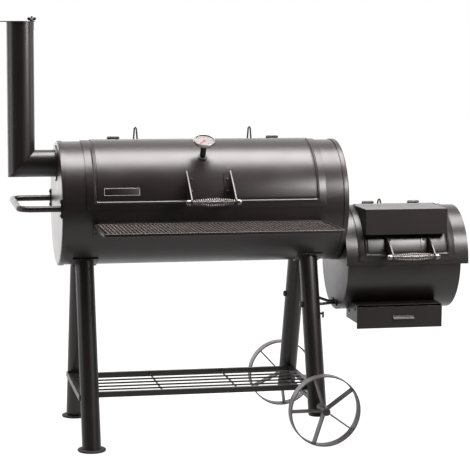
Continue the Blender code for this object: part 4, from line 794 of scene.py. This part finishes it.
clip = [
    block((0.012, 0.008, 0.006), at(0.3990, -0.1250, 0.4030), 0.0006),
    block((0.005, 0.010, 0.020), at(0.4060, -0.1250, 0.3990), 0.0008),
]
settle(joined(clip), "leg_clip", "smoker", blackOxide)


# Camera, floor and light

camera = {"place": (-1.11675, -5.47575, 1.3315), "yaw": 11.48, "pitch": 6.79, "roll": 0.27, "lens": 129.45}
clearSelection()
bpy.ops.object.camera_add(location=camera["place"])
view = bpy.context.object
view.name = "frontCamera"
view.rotation_mode = "XYZ"
aim = (
    Matrix.Rotation(-radians(camera["yaw"]), 4, "Z")
    @ Matrix.Rotation(radians(90 - camera["pitch"]), 4, "X")
    @ Matrix.Rotation(radians(camera["roll"]), 4, "Z")
)
view.rotation_euler = aim.to_euler("XYZ")
view.data.lens = camera["lens"]
view.data.sensor_width = 36
view.data.clip_end = 100
bpy.context.scene.camera = view

clearSelection()
bpy.ops.mesh.primitive_plane_add(size=40, location=(0, 0, -0.0005))
floor = bpy.context.object
floor.name = "studio_floor"
floorPaint = bpy.data.materials.new("paleStudioFloor")
floorPaint.use_nodes = True
floorShader = floorPaint.node_tree.nodes["Principled BSDF"]
floorShader.inputs["Base Color"].default_value = srgb("#4c4c4b")
floorShader.inputs["Roughness"].default_value = 0.9
floorShader.inputs["Emission Color"].default_value = (1, 1, 1, 1)
# The camera sees the floor white; what shines back from it is dimmer
floorTree = floorPaint.node_tree
floorRays = addNode(floorTree, "ShaderNodeLightPath")
floorPlace = addNode(floorTree, "ShaderNodeTexCoord")
floorWay = addNode(floorTree, "ShaderNodeSeparateXYZ", links={"Vector": floorPlace.outputs["Object"]})
shine = addNode(
    floorTree, "ShaderNodeMapRange", {"From Min": -2.6, "From Max": -0.5, "To Min": 0.10, "To Max": 0.80},
    {"Value": floorWay.outputs["Y"]}, interpolation_type="SMOOTHSTEP",
)
glow = addNode(
    floorTree, "ShaderNodeMix", {"B": 0.95},
    {"Factor": floorRays.outputs["Is Camera Ray"], "A": shine.outputs["Result"]},
)
floorTree.links.new(glow.outputs["Result"], floorShader.inputs["Emission Strength"])
floor.data.materials.append(floorPaint)

world = bpy.data.worlds.new("pale studio")
world.use_nodes = True
tree = world.node_tree
# The studio is white behind the object and dark in front of it, where nothing stands
sky = addNode(tree, "ShaderNodeTexCoord")
split = addNode(tree, "ShaderNodeSeparateXYZ", links={"Vector": sky.outputs["Generated"]})
depthWay = addNode(
    tree, "ShaderNodeMapRange", {"From Min": 0.35, "From Max": 0.95, "To Min": 0.11, "To Max": 1.5},
    {"Value": split.outputs["Y"]}, interpolation_type="SMOOTHSTEP",
)
background = tree.nodes["Background"]
background.inputs["Color"].default_value = (1, 1, 1, 1)
tree.links.new(depthWay.outputs["Result"], background.inputs["Strength"])
seen = addNode(tree, "ShaderNodeBackground", {"Color": (1, 1, 1, 1), "Strength": 1.0})
rays = addNode(tree, "ShaderNodeLightPath")
mixed = addNode(
    tree, "ShaderNodeMixShader",
    links={0: rays.outputs["Is Camera Ray"], 1: background.outputs[0], 2: seen.outputs[0]},
)
tree.links.new(mixed.outputs[0], tree.nodes["World Output"].inputs["Surface"])
bpy.context.scene.world = world
bpy.context.scene.view_settings.view_transform = "Standard"

softboxes = {
    "overhead": {"place": (0.0, 0.0, 3.0), "aim": (0, 0.0, 0.6), "size": (3.6, 1.25), "power": 275},
    "frontRight": {"place": (2.7, -4.6, 1.5), "aim": (0.5, 0, 0.7), "size": (1.9, 3.0), "power": 20},
    "fireboxKey": {"place": (0.98, -0.98, 1.42), "aim": (0.56, -0.1, 0.66), "size": (0.7, 0.3), "power": 24},
    "leftStrip": {"place": (-2.9, 0.3, 1.4), "aim": (-0.3, 0, 1.0), "size": (1.2, 1.8), "power": 16},
    "backLeft": {"place": (-1.7, 3.4, 0.9), "aim": (-0.4, 0, 0.8), "size": (3.0, 1.8), "power": 26},
    "rightStrip": {"place": (2.9, 0.7, 1.6), "aim": (0.3, 0, 1.0), "size": (1.2, 1.8), "power": 16},
}
for name, lamp in softboxes.items():
    clearSelection()
    bpy.ops.object.light_add(type="AREA", location=lamp["place"])
    light = bpy.context.object
    light.name = name
    light.data.shape = "RECTANGLE"
    light.data.size, light.data.size_y = lamp["size"]
    light.data.energy = lamp["power"]
    light.data.color = (1.0, 0.955, 0.965)
    way = Vector(lamp["aim"]) - Vector(lamp["place"])
    light.rotation_euler = way.to_track_quat("-Z", "Y").to_euler()
    light.visible_camera = False
print("camera, floor and light are set")
